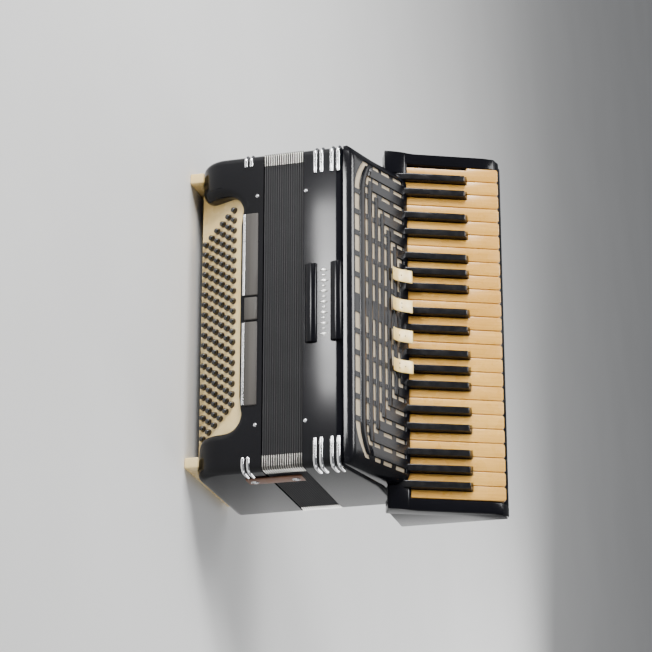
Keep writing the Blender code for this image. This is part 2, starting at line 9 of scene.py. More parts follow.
import bmesh
import bpy
import numpy as np
from mathutils import Matrix, Vector
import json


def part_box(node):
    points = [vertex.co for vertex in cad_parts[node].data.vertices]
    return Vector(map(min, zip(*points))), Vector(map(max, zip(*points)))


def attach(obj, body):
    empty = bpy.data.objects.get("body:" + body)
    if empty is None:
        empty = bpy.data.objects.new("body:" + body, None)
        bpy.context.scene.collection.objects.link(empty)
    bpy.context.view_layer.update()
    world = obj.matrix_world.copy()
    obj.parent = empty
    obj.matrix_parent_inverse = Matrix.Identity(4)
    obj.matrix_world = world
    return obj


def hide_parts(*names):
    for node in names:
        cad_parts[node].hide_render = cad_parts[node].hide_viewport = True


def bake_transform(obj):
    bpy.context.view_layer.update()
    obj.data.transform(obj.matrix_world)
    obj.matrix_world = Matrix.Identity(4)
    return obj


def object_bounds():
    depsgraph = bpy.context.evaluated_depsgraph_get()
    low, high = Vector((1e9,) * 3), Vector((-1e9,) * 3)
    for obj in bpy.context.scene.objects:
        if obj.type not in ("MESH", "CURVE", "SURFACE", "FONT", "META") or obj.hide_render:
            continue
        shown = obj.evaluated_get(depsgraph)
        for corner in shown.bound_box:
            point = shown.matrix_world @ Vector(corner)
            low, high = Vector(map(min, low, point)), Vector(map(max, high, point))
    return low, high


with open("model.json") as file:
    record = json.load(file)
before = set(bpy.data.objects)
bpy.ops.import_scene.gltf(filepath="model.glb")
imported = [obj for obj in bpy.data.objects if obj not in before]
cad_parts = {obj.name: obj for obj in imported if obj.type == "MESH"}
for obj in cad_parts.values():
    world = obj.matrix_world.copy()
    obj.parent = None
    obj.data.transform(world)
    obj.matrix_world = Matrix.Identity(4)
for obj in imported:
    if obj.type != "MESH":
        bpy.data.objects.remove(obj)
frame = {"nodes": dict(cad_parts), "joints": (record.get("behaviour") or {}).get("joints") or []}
cad_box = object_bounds()

# Places taken from the frame.
BASS_LOW, BASS_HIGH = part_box("bass_casing")
TREBLE_LOW, TREBLE_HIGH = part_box("treble_casing")
COVER_LOW, COVER_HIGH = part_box("treble_grille")
HALF = BASS_HIGH.x
FRONT = BASS_LOW.y
BACK = BASS_HIGH.y
DEPTH = BACK - FRONT
BASS_RIM = BASS_HIGH.z
BASS_FACE = BASS_LOW.z
TREBLE_RIM = TREBLE_LOW.z
PANEL_TOP = COVER_LOW.z - 0.0008
BACK_TOP = TREBLE_HIGH.z
KEY_JOINTS = [j for j in frame["joints"] if j["name"].startswith("key_")]
AXLE = Vector(KEY_JOINTS[0]["pos_m"])

# The keyboard's own plane, measured from the axle.
KEY_TILT = math.radians(66.8)
KEY_ALONG = Vector((0, math.cos(KEY_TILT), math.sin(KEY_TILT)))
KEY_UP = Vector((0, -math.sin(KEY_TILT), math.cos(KEY_TILT)))
KEY_TAIL, KEY_REAR = -0.004, 0.026
KEY_FRONT, SHARP_FRONT = KEY_REAR + 0.1274, KEY_REAR + 0.0824
KEY_LOW, KEY_TOP, SHARP_TOP = 0.0023, 0.0143, 0.0233
KEY_PITCH, KEY_SPLIT, SHARP_WIDTH = 0.020, 0.0009, 0.0105
KEYBOARD_HALF = 0.240

# The button board's own plane, measured from its top edge.
BOARD_TILT = math.radians(114.9)
BOARD_TOP = Vector((0, FRONT + 0.008, 0.0805))
BOARD_MATRIX = Matrix.Translation(BOARD_TOP) @ Matrix.Rotation(BOARD_TILT, 4, "X")
BOARD_WIDTH = 0.0783
COLUMNS, COLUMN_PITCH = 20, 0.0146
ROWS, BASS_ROWS, ROW_PITCH, ROW_SLANT = 6, 2, 0.0102, 0.0075
FIRST_ROW, BUTTON_CENTRE = 0.0194, 0.006
BUTTON_RADIUS, BUTTON_RISE = 0.0039, 0.0065

FOLDS, FOLD_DEPTH = 18, 0.013
CLOTH_GAP, CLOTH_INSET, FOLD_CORNER = 0.0003, 0.0012, 0.005
SCREW_RADIUS = 0.0035
NEARLY = 1e-5
SIDES = ((-1, "high"), (1, "low"))


# ---------------------------------------------------------------- materials

class Paint:
    """One material's node tree: a Principled shader and the textures that drive it."""

    def __init__(self, name, colour, roughness, **sockets):
        self.material = bpy.data.materials.new(name)
        self.material.use_nodes = True
        self.tree = self.material.node_tree
        self.shader = self.tree.nodes["Principled BSDF"]
        self.set("Base Color", (*colour, 1))
        self.set("Roughness", roughness)
        for socket, value in sockets.items():
            self.set(socket.replace("_", " "), value)
        self.place = self.node("ShaderNodeTexCoord").outputs["Object"]

    def set(self, socket, value):
        self.shader.inputs[socket].default_value = value

    def node(self, kind, **values):
        made = self.tree.nodes.new(kind)
        for key, value in values.items():
            if hasattr(made, key):
                setattr(made, key, value)
            else:
                made.inputs[key].default_value = value
        return made

    def link(self, source, target):
        self.tree.links.new(source, target)

    def stretched(self, scale):
        """The object's place, scaled on each axis."""
        mapping = self.node("ShaderNodeMapping")
        mapping.inputs["Scale"].default_value = scale
        self.link(self.place, mapping.inputs["Vector"])
        return mapping.outputs["Vector"]

    def noise(self, scale, detail=3.0, stretch=(1, 1, 1)):
        made = self.node("ShaderNodeTexNoise", Scale=scale, Detail=detail)
        self.link(self.stretched(stretch), made.inputs["Vector"])
        return made.outputs["Fac"]

    def wave(self, scale, direction):
        made = self.node("ShaderNodeTexWave", Scale=scale, bands_direction=direction)
        self.link(self.place, made.inputs["Vector"])
        return made.outputs["Fac"]

    def ramp(self, factor, low, high, start=0.35, end=0.65):
        made = self.node("ShaderNodeValToRGB")
        for stop, place, colour in zip(made.color_ramp.elements, (start, end), (low, high)):
            stop.position = place
            stop.color = (*colour, 1)
        self.link(factor, made.inputs["Fac"])
        return made.outputs["Color"]

    def mix(self, factor, first, second, blend="MIX"):
        made = self.node("ShaderNodeMix", data_type="RGBA", blend_type=blend)
        for value, number in ((factor, 0), (first, 6), (second, 7)):
            socket = made.inputs[number]
            if isinstance(value, (float, int)):
                socket.default_value = value
            else:
                self.link(value, socket)
        return made.outputs[2]

    def colour(self, source):
        self.link(source, self.shader.inputs["Base Color"])
        return self

    def vary_roughness(self, factor, low, high):
        made = self.node("ShaderNodeMapRange")
        made.inputs["To Min"].default_value = low
        made.inputs["To Max"].default_value = high
        self.link(factor, made.inputs["Value"])
        self.link(made.outputs["Result"], self.shader.inputs["Roughness"])
        return self

    def bump(self, height, strength, distance):
        made = self.node("ShaderNodeBump", Strength=strength, Distance=distance)
        self.link(height, made.inputs["Height"])
        self.link(made.outputs["Normal"], self.shader.inputs["Normal"])
        return self


def mottled(name, colour, rough, texture, tones, stops, polish, grain=None, **sockets):
    """A material whose colour and roughness follow one noise, with finer lines as a bump."""
    paint = Paint(name, colour, rough, **sockets)
    mottle = paint.noise(*texture)
    paint.colour(paint.ramp(mottle, *tones, *stops))
    paint.vary_roughness(mottle, *polish)
    if grain:
        lines, strength, distance = grain
        paint.bump(paint.noise(*lines), strength, distance)
    return paint.material


def black_paint(name, polish=(0.06, 0.22), wear=0.02, shine=0.2):
    """Polished black celluloid, with faint smears and hairline scratches."""
    return mottled(
        name, (0.004, 0.004, 0.006), 0.15, (9, 5, (1, 1, 0.35)),
        ((0.002, 0.002, 0.003), (0.004, 0.004, 0.006)), (0.3, 0.75), polish,
        ((260, 2, (1, 1, 0.06)), wear, 0.0002), Specular_IOR_Level=shine)


def cream_paint(name, low, high, pitch=None, grain=(420, 22, 22)):
    """Aged cream celluloid: mottled, with faint lines and, on keys, a tone of its own for each."""
    paint = Paint(name, high, 0.28, Coat_Weight=0.25, Coat_Roughness=0.15)
    tone = paint.mix(0.45, paint.noise(7, 4), paint.noise(1, 2, grain))
    shade = paint.ramp(tone, low, high, 0.38, 0.62)
    if pitch:
        cell = paint.node("ShaderNodeTexWhiteNoise", noise_dimensions="1D")
        split = paint.node("ShaderNodeSeparateXYZ")
        steps = paint.node("ShaderNodeMath", operation="MULTIPLY")
        whole = paint.node("ShaderNodeMath", operation="FLOOR")
        steps.inputs[1].default_value = 1 / pitch
        paint.link(paint.place, split.inputs["Vector"])
        paint.link(split.outputs["X"], steps.inputs[0])
        paint.link(steps.outputs[0], whole.inputs[0])
        paint.link(whole.outputs[0], cell.inputs["W"])
        tint = paint.ramp(cell.outputs["Value"], (0.90, 0.86, 0.80), (1, 1, 1), 0, 1)
        shade = paint.mix(1.0, shade, tint, "MULTIPLY")
    paint.colour(shade)
    paint.vary_roughness(paint.noise(60, 4), 0.20, 0.36)
    paint.bump(paint.noise(300, 2, (1, 0.1, 0.1)), 0.03, 0.0002)
    return paint.material


def cloth_paint(name, dark, light, threads, sheen):
    """Woven cloth: two crossed rows of threads."""
    paint = Paint(name, light, 0.85, Sheen_Weight=sheen)
    weave = paint.mix(0.5, paint.wave(threads, "X"), paint.wave(threads, "Z"))
    worn = paint.mix(0.35, weave, paint.noise(25, 4))
    paint.colour(paint.ramp(worn, dark, light, 0.3, 0.7))
    paint.vary_roughness(weave, 0.7, 0.95)
    paint.bump(weave, 0.5, 0.0002)
    return paint.material


def chrome_paint(name, colour, polish, tarnish):
    dull = tuple(c * tarnish for c in colour)
    return mottled(
        name, colour, polish[0], (45, 5), (dull, colour), (0.25, 0.6), polish,
        ((900, 2, (1, 1, 0.2)), 0.04, 0.0001), Metallic=1.0)


def leather_paint():
    paint = Paint("strap_hide", (0.14, 0.055, 0.026), 0.55, Coat_Weight=0.1)
    cells = paint.node("ShaderNodeTexVoronoi", Scale=900)
    paint.link(paint.place, cells.inputs["Vector"])
    paint.colour(paint.ramp(paint.noise(30, 5), (0.07, 0.026, 0.012), (0.20, 0.085, 0.04), 0.3, 0.7))
    paint.vary_roughness(paint.noise(80, 3), 0.42, 0.68)
    return paint.bump(cells.outputs["Distance"], 0.35, 0.0003).material


def wood_paint():
    paint = Paint("spruce_wood", (0.55, 0.38, 0.20), 0.6)
    rings = paint.noise(8, 6, (0.6, 9, 9))
    paint.colour(paint.ramp(rings, (0.40, 0.25, 0.12), (0.62, 0.44, 0.25), 0.3, 0.7))
    paint.vary_roughness(rings, 0.5, 0.75)
    return paint.bump(rings, 0.2, 0.0003).material


def floor_paint():
    paint = Paint("pale_floor", (0.80, 0.80, 0.79), 0.6)
    paint.colour(paint.ramp(paint.noise(3, 3), (0.79, 0.79, 0.78), (0.82, 0.82, 0.81)))
    return paint.vary_roughness(paint.noise(30, 3), 0.55, 0.65).material


BLACK = black_paint("celluloid_black")
GRILLE_BLACK = black_paint("grille_black", (0.10, 0.26), 0.03, 0.4)
KEY_CREAM = cream_paint("key_cream_aged", (0.66, 0.335, 0.055), (0.80, 0.45, 0.095), KEY_PITCH)
BOARD_CREAM = cream_paint(
    "board_cream_sheet", (0.93, 0.66, 0.26), (0.98, 0.76, 0.37), None, (30, 30, 30))
TAB_IVORY = cream_paint("tab_ivory", (0.92, 0.60, 0.16), (0.98, 0.74, 0.27), None, (40, 200, 40))
EBONY = mottled(
    "ebony_key_gloss", (0.004, 0.004, 0.005), 0.15, (90, 5), ((0.007, 0.007, 0.008), (0.018, 0.017, 0.017)),
    (0.4, 0.8), (0.08, 0.26), ((500, 2, (1, 0.1, 0.1)), 0.03, 0.0001), Specular_IOR_Level=0.25)
BUTTON_BLACK = mottled(
    "button_gloss", (0.012, 0.011, 0.011), 0.12, (700, 3), ((0.008, 0.008, 0.008), (0.022, 0.020, 0.018)),
    (0.4, 0.8), (0.06, 0.2), Coat_Weight=0.6, Coat_Roughness=0.05)
BELLOWS_CLOTH = cloth_paint("bellows_weave", (0.006, 0.006, 0.007), (0.018, 0.017, 0.019), 900, 0.1)
# Lighter cloth for the bellows' fold crests: a painted highlight where the folds catch the light.
CREST_HIGHLIGHT_CLOTH = cloth_paint("bellows_crest_painted_highlight", (0.030, 0.029, 0.032), (0.075, 0.074, 0.078), 900, 0.1)
GRILLE_CLOTH = cloth_paint("grille_weave", (0.40, 0.32, 0.21), (0.66, 0.55, 0.39), 650, 0.2)
FELT = cloth_paint("dark_felt", (0.02, 0.008, 0.008), (0.07, 0.02, 0.02), 1500, 0.5)
CHROME = chrome_paint("chrome_bright", (0.83, 0.83, 0.84), (0.05, 0.18), 0.75)
CORNER_METAL = chrome_paint("corner_nickel", (0.66, 0.64, 0.60), (0.22, 0.42), 0.55)
LEATHER = leather_paint()
GREY = mottled(
    "grey_satin", (0.07, 0.065, 0.06), 0.35, (12, 5, (0.25, 8, 8)), ((0.050, 0.046, 0.042), (0.085, 0.078, 0.070)),
    (0.3, 0.7), (0.22, 0.38), ((250, 2, (0.05, 1, 1)), 0.04, 0.0002), Specular_IOR_Level=0.3)
WOOD = wood_paint()
GEM = mottled(
    "ornament_gem", (0.92, 0.90, 0.86), 0.08, (500, 2), ((0.70, 0.68, 0.64), (0.97, 0.96, 0.93)),
    (0.3, 0.6), (0.04, 0.2), Coat_Weight=0.8, Metallic=0.25)
THREAD = cloth_paint("strap_thread", (0.30, 0.20, 0.10), (0.55, 0.40, 0.22), 1500, 0.2)


# ---------------------------------------------------------------- mesh helpers

def piece(name, mesh, finish, smooth=38):
    """A new object for this mesh, with its materials and smooth shading."""
    obj = bpy.data.objects.new(name, mesh)
    bpy.context.scene.collection.objects.link(obj)
    for material in finish if isinstance(finish, (list, tuple)) else [finish]:
        mesh.materials.append(material)
    mesh.shade_smooth()
    mesh.set_sharp_from_angle(angle=math.radians(smooth))
    return obj


def from_bmesh(name, bm, finish, smooth=38):
    bmesh.ops.recalc_face_normals(bm, faces=bm.faces)
    mesh = bpy.data.meshes.new(name)
    bm.to_mesh(mesh)
    bm.free()
    return piece(name, mesh, finish, smooth)


def skin(bm, rings, closed=False):
    """Faces between neighbouring rows of vertices, all the way round where the rows are closed."""
    for lower, upper in zip(rings, rings[1:]):
        for i in range(len(lower) if closed else len(lower) - 1):
            after = (i + 1) % len(lower)
            bm.faces.new((lower[i], lower[after], upper[after], upper[i]))


def settle(obj, smooth=38):
    """Applies the object's modifiers."""
    bpy.context.view_layer.update()
    graph = bpy.context.evaluated_depsgraph_get()
    mesh = bpy.data.meshes.new_from_object(obj.evaluated_get(graph))
    obj.modifiers.clear()
    obj.data = mesh
    mesh.shade_smooth()
    mesh.set_sharp_from_angle(angle=math.radians(smooth))
    return obj


def bevel(obj, width, segments=3, angle=35):
    made = obj.modifiers.new("bevel", "BEVEL")
    made.width = width
    made.segments = segments
    made.limit_method = "ANGLE"
    made.angle_limit = math.radians(angle)
    made.harden_normals = False
    return settle(obj)


def boolean(obj, other, operation="DIFFERENCE"):
    made = obj.modifiers.new("cut", "BOOLEAN")
    made.object = other
    made.operation = operation
    made.solver = "EXACT"
    settle(obj)
    bpy.data.objects.remove(other)
    return obj


def prism(name, outline, low, high, finish, matrix=None, smooth=38):
    """A flat outline in local X and Y, as a solid between two heights on local Z."""
    bm = bmesh.new()
    bottom = [bm.verts.new((x, y, low)) for x, y in outline]
    top = [bm.verts.new((x, y, high)) for x, y in outline]
    bm.faces.new(list(reversed(bottom)))
    bm.faces.new(top)
    skin(bm, (bottom, top), True)
    bm.transform(matrix or Matrix())
    return from_bmesh(name, bm, finish, smooth)


ACROSS = Matrix(((0, 0, 1, 0), (1, 0, 0, 0), (0, 1, 0, 0), (0, 0, 0, 1)))


def section(name, outline, low_x, high_x, finish, smooth=38):
    """A solid with its outline in Y and Z, between two places along X."""
    return prism(name, outline, low_x, high_x, finish, ACROSS, smooth)


def block(name, low, high, finish):
    low, high = Vector(low), Vector(high)
    outline = [(low.x, low.y), (high.x, low.y), (high.x, high.y), (low.x, high.y)]
    return prism(name, outline, low.z, high.z, finish)


def arc(centre, radius, start, end, steps):
    angles = np.radians(np.linspace(start, end, steps + 1))
    return [(centre[0] + radius * math.cos(a), centre[1] + radius * math.sin(a)) for a in angles]


def on_section(points):
    """Depths behind the front plane, with heights, as Y and Z."""
    return [(FRONT + depth, height) for depth, height in points]


def key_plane(along, above):
    point = AXLE + KEY_ALONG * along + KEY_UP * above
    return point.y, point.z


def turned(name, profile, sides, places, finish, matrix=None, smooth=38):
    """Turned pieces, each a (radius, height) profile about local Z, at several places in one mesh."""
    bm = bmesh.new()
    turns = [2 * math.pi * i / sides for i in range(sides)]
    for place in places:
        rings = []
        for radius, height in profile:
            points = [Vector((radius * math.cos(a), radius * math.sin(a), height)) for a in turns]
            rings.append([bm.verts.new(Vector(place) + point) for point in points])
        skin(bm, rings, True)
        bm.faces.new(list(reversed(rings[0])))
        bm.faces.new(rings[-1])
    bm.transform(matrix or Matrix())
    return from_bmesh(name, bm, finish, smooth)


def dome(radius, height, foot=0.0, steps=5):
    """A profile that rises straight from its foot and closes in a dome."""
    angles = [math.pi / 2 * i / steps for i in range(steps)]
    curve = [(radius * math.cos(a), height * math.sin(a)) for a in angles]
    return [(radius, -foot)] + curve + [(radius * 0.05, height)]


def tube(name, points, radius, finish, end_size=1.0):
    """A round bar along a line of points, with closed ends that may be narrower."""
    curve = bpy.data.curves.new(name, "CURVE")
    curve.dimensions = "3D"
    curve.bevel_depth = radius
    curve.bevel_resolution = 5
    curve.use_fill_caps = True
    spline = curve.splines.new("POLY")
    spline.points.add(len(points) - 1)
    for place, point in zip(spline.points, points):
        place.co = (*point, 1)
    for point in (spline.points[0], spline.points[-1]):
        point.radius = end_size
    made = bpy.data.objects.new(name, curve)
    bpy.context.scene.collection.objects.link(made)
    bpy.context.view_layer.update()
    mesh = bpy.data.meshes.new_from_object(made.evaluated_get(bpy.context.evaluated_depsgraph_get()))
    bpy.data.objects.remove(made)
    return piece(name, mesh, finish, 50)


def join(name, parts):
    """Several objects of one material as one mesh."""
    bm = bmesh.new()
    for part in parts:
        bm.from_mesh(part.data)
    mesh = bpy.data.meshes.new(name)
    bm.to_mesh(mesh)
    bm.free()
    finish = list(parts[0].data.materials)
    for part in parts:
        bpy.data.objects.remove(part)
    return piece(name, mesh, finish, 50)


def fix(obj, body, slot, *nodes):
    """Rides the piece on its body and hides the CAD nodes that it stands for; its slot is not used."""
    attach(obj, body)
    if nodes:
        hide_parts(*nodes)
    return obj


# ---------------------------------------------------------------- treble side

EDGE, WALL = 0.010, 0.007


def make_treble_shell():
    skirt = TREBLE_RIM - 3 * EDGE
    outer = [(0, skirt), (0, PANEL_TOP), (0.110, BACK_TOP), (DEPTH, BACK_TOP), (DEPTH, skirt)]
    shell = section("treble_shell", on_section(outer), -HALF, HALF, BLACK)
    bevel(shell, EDGE, 7, 60)
    boolean(shell, block("skirt", (-0.3, -0.2, skirt - 0.01), (0.3, 0.2, TREBLE_RIM), BLACK))
    hollow = block(
        "hollow",
        (WALL - HALF, FRONT + WALL, TREBLE_RIM - 0.01),
        (HALF - WALL, BACK - WALL, PANEL_TOP - 0.008),
        WOOD,
    )
    boolean(shell, hollow)
    fix(shell, "treble_side", "black_casing", "treble_casing")


# The grille cover is one surface over x and s. s runs up the front lip, over the ridge and
# down the slope to the keys, and it is 0 where the slope begins.
RIDGE_RADIUS = 0.012
RIDGE_CENTRE = (0.012, COVER_LOW.z + 0.0035)
RIDGE_TURN = math.radians(68)
SLOPE_START = (
    RIDGE_CENTRE[0] - RIDGE_RADIUS * math.cos(RIDGE_TURN),
    RIDGE_CENTRE[1] + RIDGE_RADIUS * math.sin(RIDGE_TURN),
)
SLOPE_END = (0.1188, COVER_HIGH.z)
SLOPE_LENGTH = math.dist(SLOPE_START, SLOPE_END)
RIDGE_LENGTH = RIDGE_RADIUS * RIDGE_TURN
LIP_LENGTH = RIDGE_CENTRE[1] - COVER_LOW.z
SLOT_ROWS = (0.0054, 0.0268, 0.0421, 0.0556, 0.0695, 0.0843, 0.0990)
ROW_ARMS = tuple(0.2065 - 0.0195 * i for i in range(len(SLOT_ROWS)))
FIRST_CHANNEL, LONG_CHANNEL, ARM_CHANNEL = 0.0122, 0.0072, 0.0068
CHANNEL_DEEP, CHANNEL_SLOPE, COVER_THICK = 0.0014, 0.0007, 0.0007
SLOT_START, SLOT_LENGTH, SLOT_PITCH, SLOTS = 0.0133, 0.0226, 0.0301, 6
ARM_SLOTS = ((0.0350, 0.0540), (0.0625, 0.0815), (0.0900, 0.1095))
ARM_END = 0.1125
CORNER_REACH, FIRST_BEND = 0.011, 0.030
SHORTEST_SLOT, SLOT_BRIDGE, ARM_SLOT_GAP = 0.006, 0.004, 0.010
END_ROUND, END_DROP, END_POWER = 0.026, 0.021, 2.5
GRID_STEP_X, GRID_STEP_S = 0.009, 0.005
TILE_SWELL, CLOTH_EDGE = 0.0875, 0.006
CORNER_START, CORNER_REACH_X, CORNER_RISE, CORNER_FADE = 0.163, 0.043, 0.019, 0.062


def cover_profile(s):
    """(depth, height, outward normal) on the cover's middle section."""
    if s > 0:
        share = s / SLOPE_LENGTH
        depth = SLOPE_START[0] + (SLOPE_END[0] - SLOPE_START[0]) * share
        height = SLOPE_START[1] + (SLOPE_END[1] - SLOPE_START[1]) * share
        return depth, height, (-math.cos(RIDGE_TURN), math.sin(RIDGE_TURN))
    if s > -RIDGE_LENGTH:
        turn = RIDGE_TURN + s / RIDGE_RADIUS
        out = (-math.cos(turn), math.sin(turn))
        return RIDGE_CENTRE[0] + RIDGE_RADIUS * out[0], RIDGE_CENTRE[1] + RIDGE_RADIUS * out[1], out
    return 0.0, RIDGE_CENTRE[1] + s + RIDGE_LENGTH, (-1, 0)


def seat_height(depth):
    """Where the cover meets the casing, at this depth."""
    share = min(1, depth / 0.1095)
    return COVER_LOW.z + (BACK_TOP + 0.001 - COVER_LOW.z) * share


def cover_point(x, s, height):
    """A point of the cover, raised by height, with its corners and ends rounded off."""
    reach = max(0, (abs(x) - CORNER_START) / CORNER_REACH_X)
    fade = max(0, 1 - s / CORNER_FADE) if s > 0 else max(0, 1 + s / (RIDGE_LENGTH + LIP_LENGTH))
    depth, z, out = cover_profile(s + CORNER_RISE * min(reach, 1.2) ** 2 * fade * (s > -RIDGE_LENGTH))
    depth += out[0] * height
    z += out[1] * height
    seat = seat_height(depth)
    end = max(0, (abs(x) - (HALF - END_ROUND)) / END_ROUND)
    z -= min(END_DROP, z - seat) * (1 - (1 - min(1, end) ** END_POWER) ** (1 / END_POWER))
    return Vector((x, FRONT + depth, z))


def row_width(row):
    """The channel along the ridge is the widest."""
    return FIRST_CHANNEL if row == SLOT_ROWS[0] else LONG_CHANNEL


def channels():
    """(low x, high x, low s, high s) of every channel, on both sides of the middle."""
    made = []
    for row, arm in zip(SLOT_ROWS, ROW_ARMS):
        wide, narrow = ARM_CHANNEL / 2, row_width(row) / 2
        made.append((-arm - wide, arm + wide, row - narrow, row + narrow))
        for side in (-1, 1):
            made.append((*sorted((side * (arm - wide), side * (arm + wide))), row - narrow, ARM_END))
    return made


def slots():
    """The openings in the channels' floors."""
    made = []
    for row, arm in zip(SLOT_ROWS, ROW_ARMS):
        wide = ARM_CHANNEL / 2 - CHANNEL_SLOPE
        narrow = row_width(row) / 2 - CHANNEL_SLOPE
        for side in (-1, 1):
            for i in range(SLOTS):
                start = SLOT_START + i * SLOT_PITCH
                end = min(start + SLOT_LENGTH, arm - wide - CORNER_REACH)
                if end - start > SHORTEST_SLOT:
                    made.append((*sorted((side * start, side * end)), row - narrow, row + narrow))
            corner = sorted((side * (arm - wide - CORNER_REACH + SLOT_BRIDGE), side * (arm + wide)))
            made.append((*corner, row - narrow, row + narrow))
            outer = sorted((side * (arm - wide), side * (arm + wide)))
            if row == SLOT_ROWS[0]:
                bend = sorted((side * (arm - FIRST_BEND), side * (arm - wide)))
                made.append((*bend, row - narrow, row + narrow))
            made.append((*outer, row - narrow, row + narrow + SHORTEST_SLOT))
            for start, end in ARM_SLOTS:
                start = max(start, row + narrow + ARM_SLOT_GAP)
                if end - start > SHORTEST_SLOT:
                    made.append((*outer, start, end))
    return made


def inside(x, s, boxes, margin=0.0):
    return any(
        low_x + margin < x < high_x - margin and low_s + margin < s < high_s - margin
        for low_x, high_x, low_s, high_s in boxes
    )


def spread(lines, low, high, step):
    """Sorted grid lines, with more between them so that no gap passes the step."""
    kept = sorted({round(v, 5) for v in lines if low <= v <= high} | {low, high})
    found = []
    for start, end in zip(kept, kept[1:]):
        if end - start < 0.0001:
            continue
        count = max(1, math.ceil((end - start) / step))
        found += [start + (end - start) * i / count for i in range(count)]
    return found + [high]


def cover_grid():
    gutters, holes = channels(), slots()
    xs, ss = [], [0.0, -RIDGE_LENGTH]
    for low_x, high_x, low_s, high_s in gutters:
        xs += [low_x, low_x + CHANNEL_SLOPE, high_x - CHANNEL_SLOPE, high_x]
        ss += [low_s, low_s + CHANNEL_SLOPE, high_s - CHANNEL_SLOPE, high_s]
    for low_x, high_x, low_s, high_s in holes:
        xs += [low_x, high_x]
        ss += [low_s, high_s]
    ss += list(np.linspace(-RIDGE_LENGTH, 0, 9))
    turns = np.radians(range(0, 91, 9))
    xs += [side * (HALF - END_ROUND * (1 - math.sin(t))) for side in (-1, 1) for t in turns]
    xs = spread(xs, -HALF, HALF, GRID_STEP_X)
    return xs, spread(ss, -RIDGE_LENGTH - LIP_LENGTH, SLOPE_LENGTH, GRID_STEP_S), gutters, holes


def tile_height(x, s, gutters):
    """0 on the raised tiles, which swell a little, and below them in the channels."""
    if inside(x, s, gutters, CHANNEL_SLOPE * 0.9):
        return -CHANNEL_DEEP
    if inside(x, s, gutters, -NEARLY) or s < 0:
        return 0.0
    after = [row for row in SLOT_ROWS if row > s]
    before = [row for row in SLOT_ROWS if row < s]
    if not (after and before) or abs(x) > ROW_ARMS[len(before) - 1]:
        return 0.0
    low, high = before[-1] + row_width(before[-1]) / 2, after[0] - LONG_CHANNEL / 2
    share = (s - low) / (high - low)
    return TILE_SWELL * (high - low) * math.sin(math.pi * min(1, max(0, share)))


def make_cover():
    xs, ss, gutters, holes = cover_grid()
    bm = bmesh.new()
    rows = [[bm.verts.new(cover_point(x, s, tile_height(x, s, gutters))) for x in xs] for s in ss]
    for j, (low_s, high_s) in enumerate(zip(ss, ss[1:])):
        for i, (low_x, high_x) in enumerate(zip(xs, xs[1:])):
            if inside((low_x + high_x) / 2, (low_s + high_s) / 2, holes):
                continue
            bm.faces.new((rows[j][i], rows[j][i + 1], rows[j + 1][i + 1], rows[j + 1][i]))
    # The end walls come down to the casing, and the edge by the keys turns in.
    for column in (0, -1):
        upper = [row[column] for row in rows]
        feet = [(v.co.x, v.co.y, min(v.co.z, seat_height(v.co.y - FRONT))) for v in upper]
        lower = [bm.verts.new(foot) for foot in feet]
        tall = [high.co.z - low.co.z > NEARLY for high, low in zip(upper, lower)]
        for i in range(len(ss) - 1):
            if tall[i] and tall[i + 1]:
                bm.faces.new((upper[i], upper[i + 1], lower[i + 1], lower[i]))
    lip = [bm.verts.new(v.co + Vector((0, 0.0006, -0.0035))) for v in rows[-1]]
    skin(bm, (rows[-1], lip))
    loose = [v for v in bm.verts if not v.link_faces]
    bmesh.ops.delete(bm, geom=loose)
    cover = from_bmesh("grille_cover", bm, GRILLE_BLACK, 30)
    shell = cover.modifiers.new("thickness", "SOLIDIFY")
    shell.thickness = COVER_THICK
    shell.offset = -1
    settle(cover, 30)
    fix(cover, "treble_side", "black_casing", "treble_grille")


def make_grille_cloth():
    """The cloth stretched behind the cover's slots."""
    lining = bmesh.new()
    cloth_xs = np.linspace(-HALF + CLOTH_EDGE, HALF - CLOTH_EDGE, 75)
    cloth_ss = np.linspace(-0.002, SLOPE_LENGTH - CLOTH_EDGE, 25)
    below = -CHANNEL_DEEP - COVER_THICK - 0.0002
    skin(lining, [[lining.verts.new(cover_point(x, s, below)) for x in cloth_xs] for s in cloth_ss])
    area = sum(face.calc_area() for face in lining.faces)
    cloth = from_bmesh("grille_cloth", lining, GRILLE_CLOTH, 60)
    fix(cloth, "treble_side", "grille_cloth")


BAR_HEIGHTS = ((0.0029, 0.0192), (0.0373, 0.0531))
BAR_HALF, BAR_RELIEF = 0.055, 0.0055
STONES, STONE_PITCH = 13, 0.0075


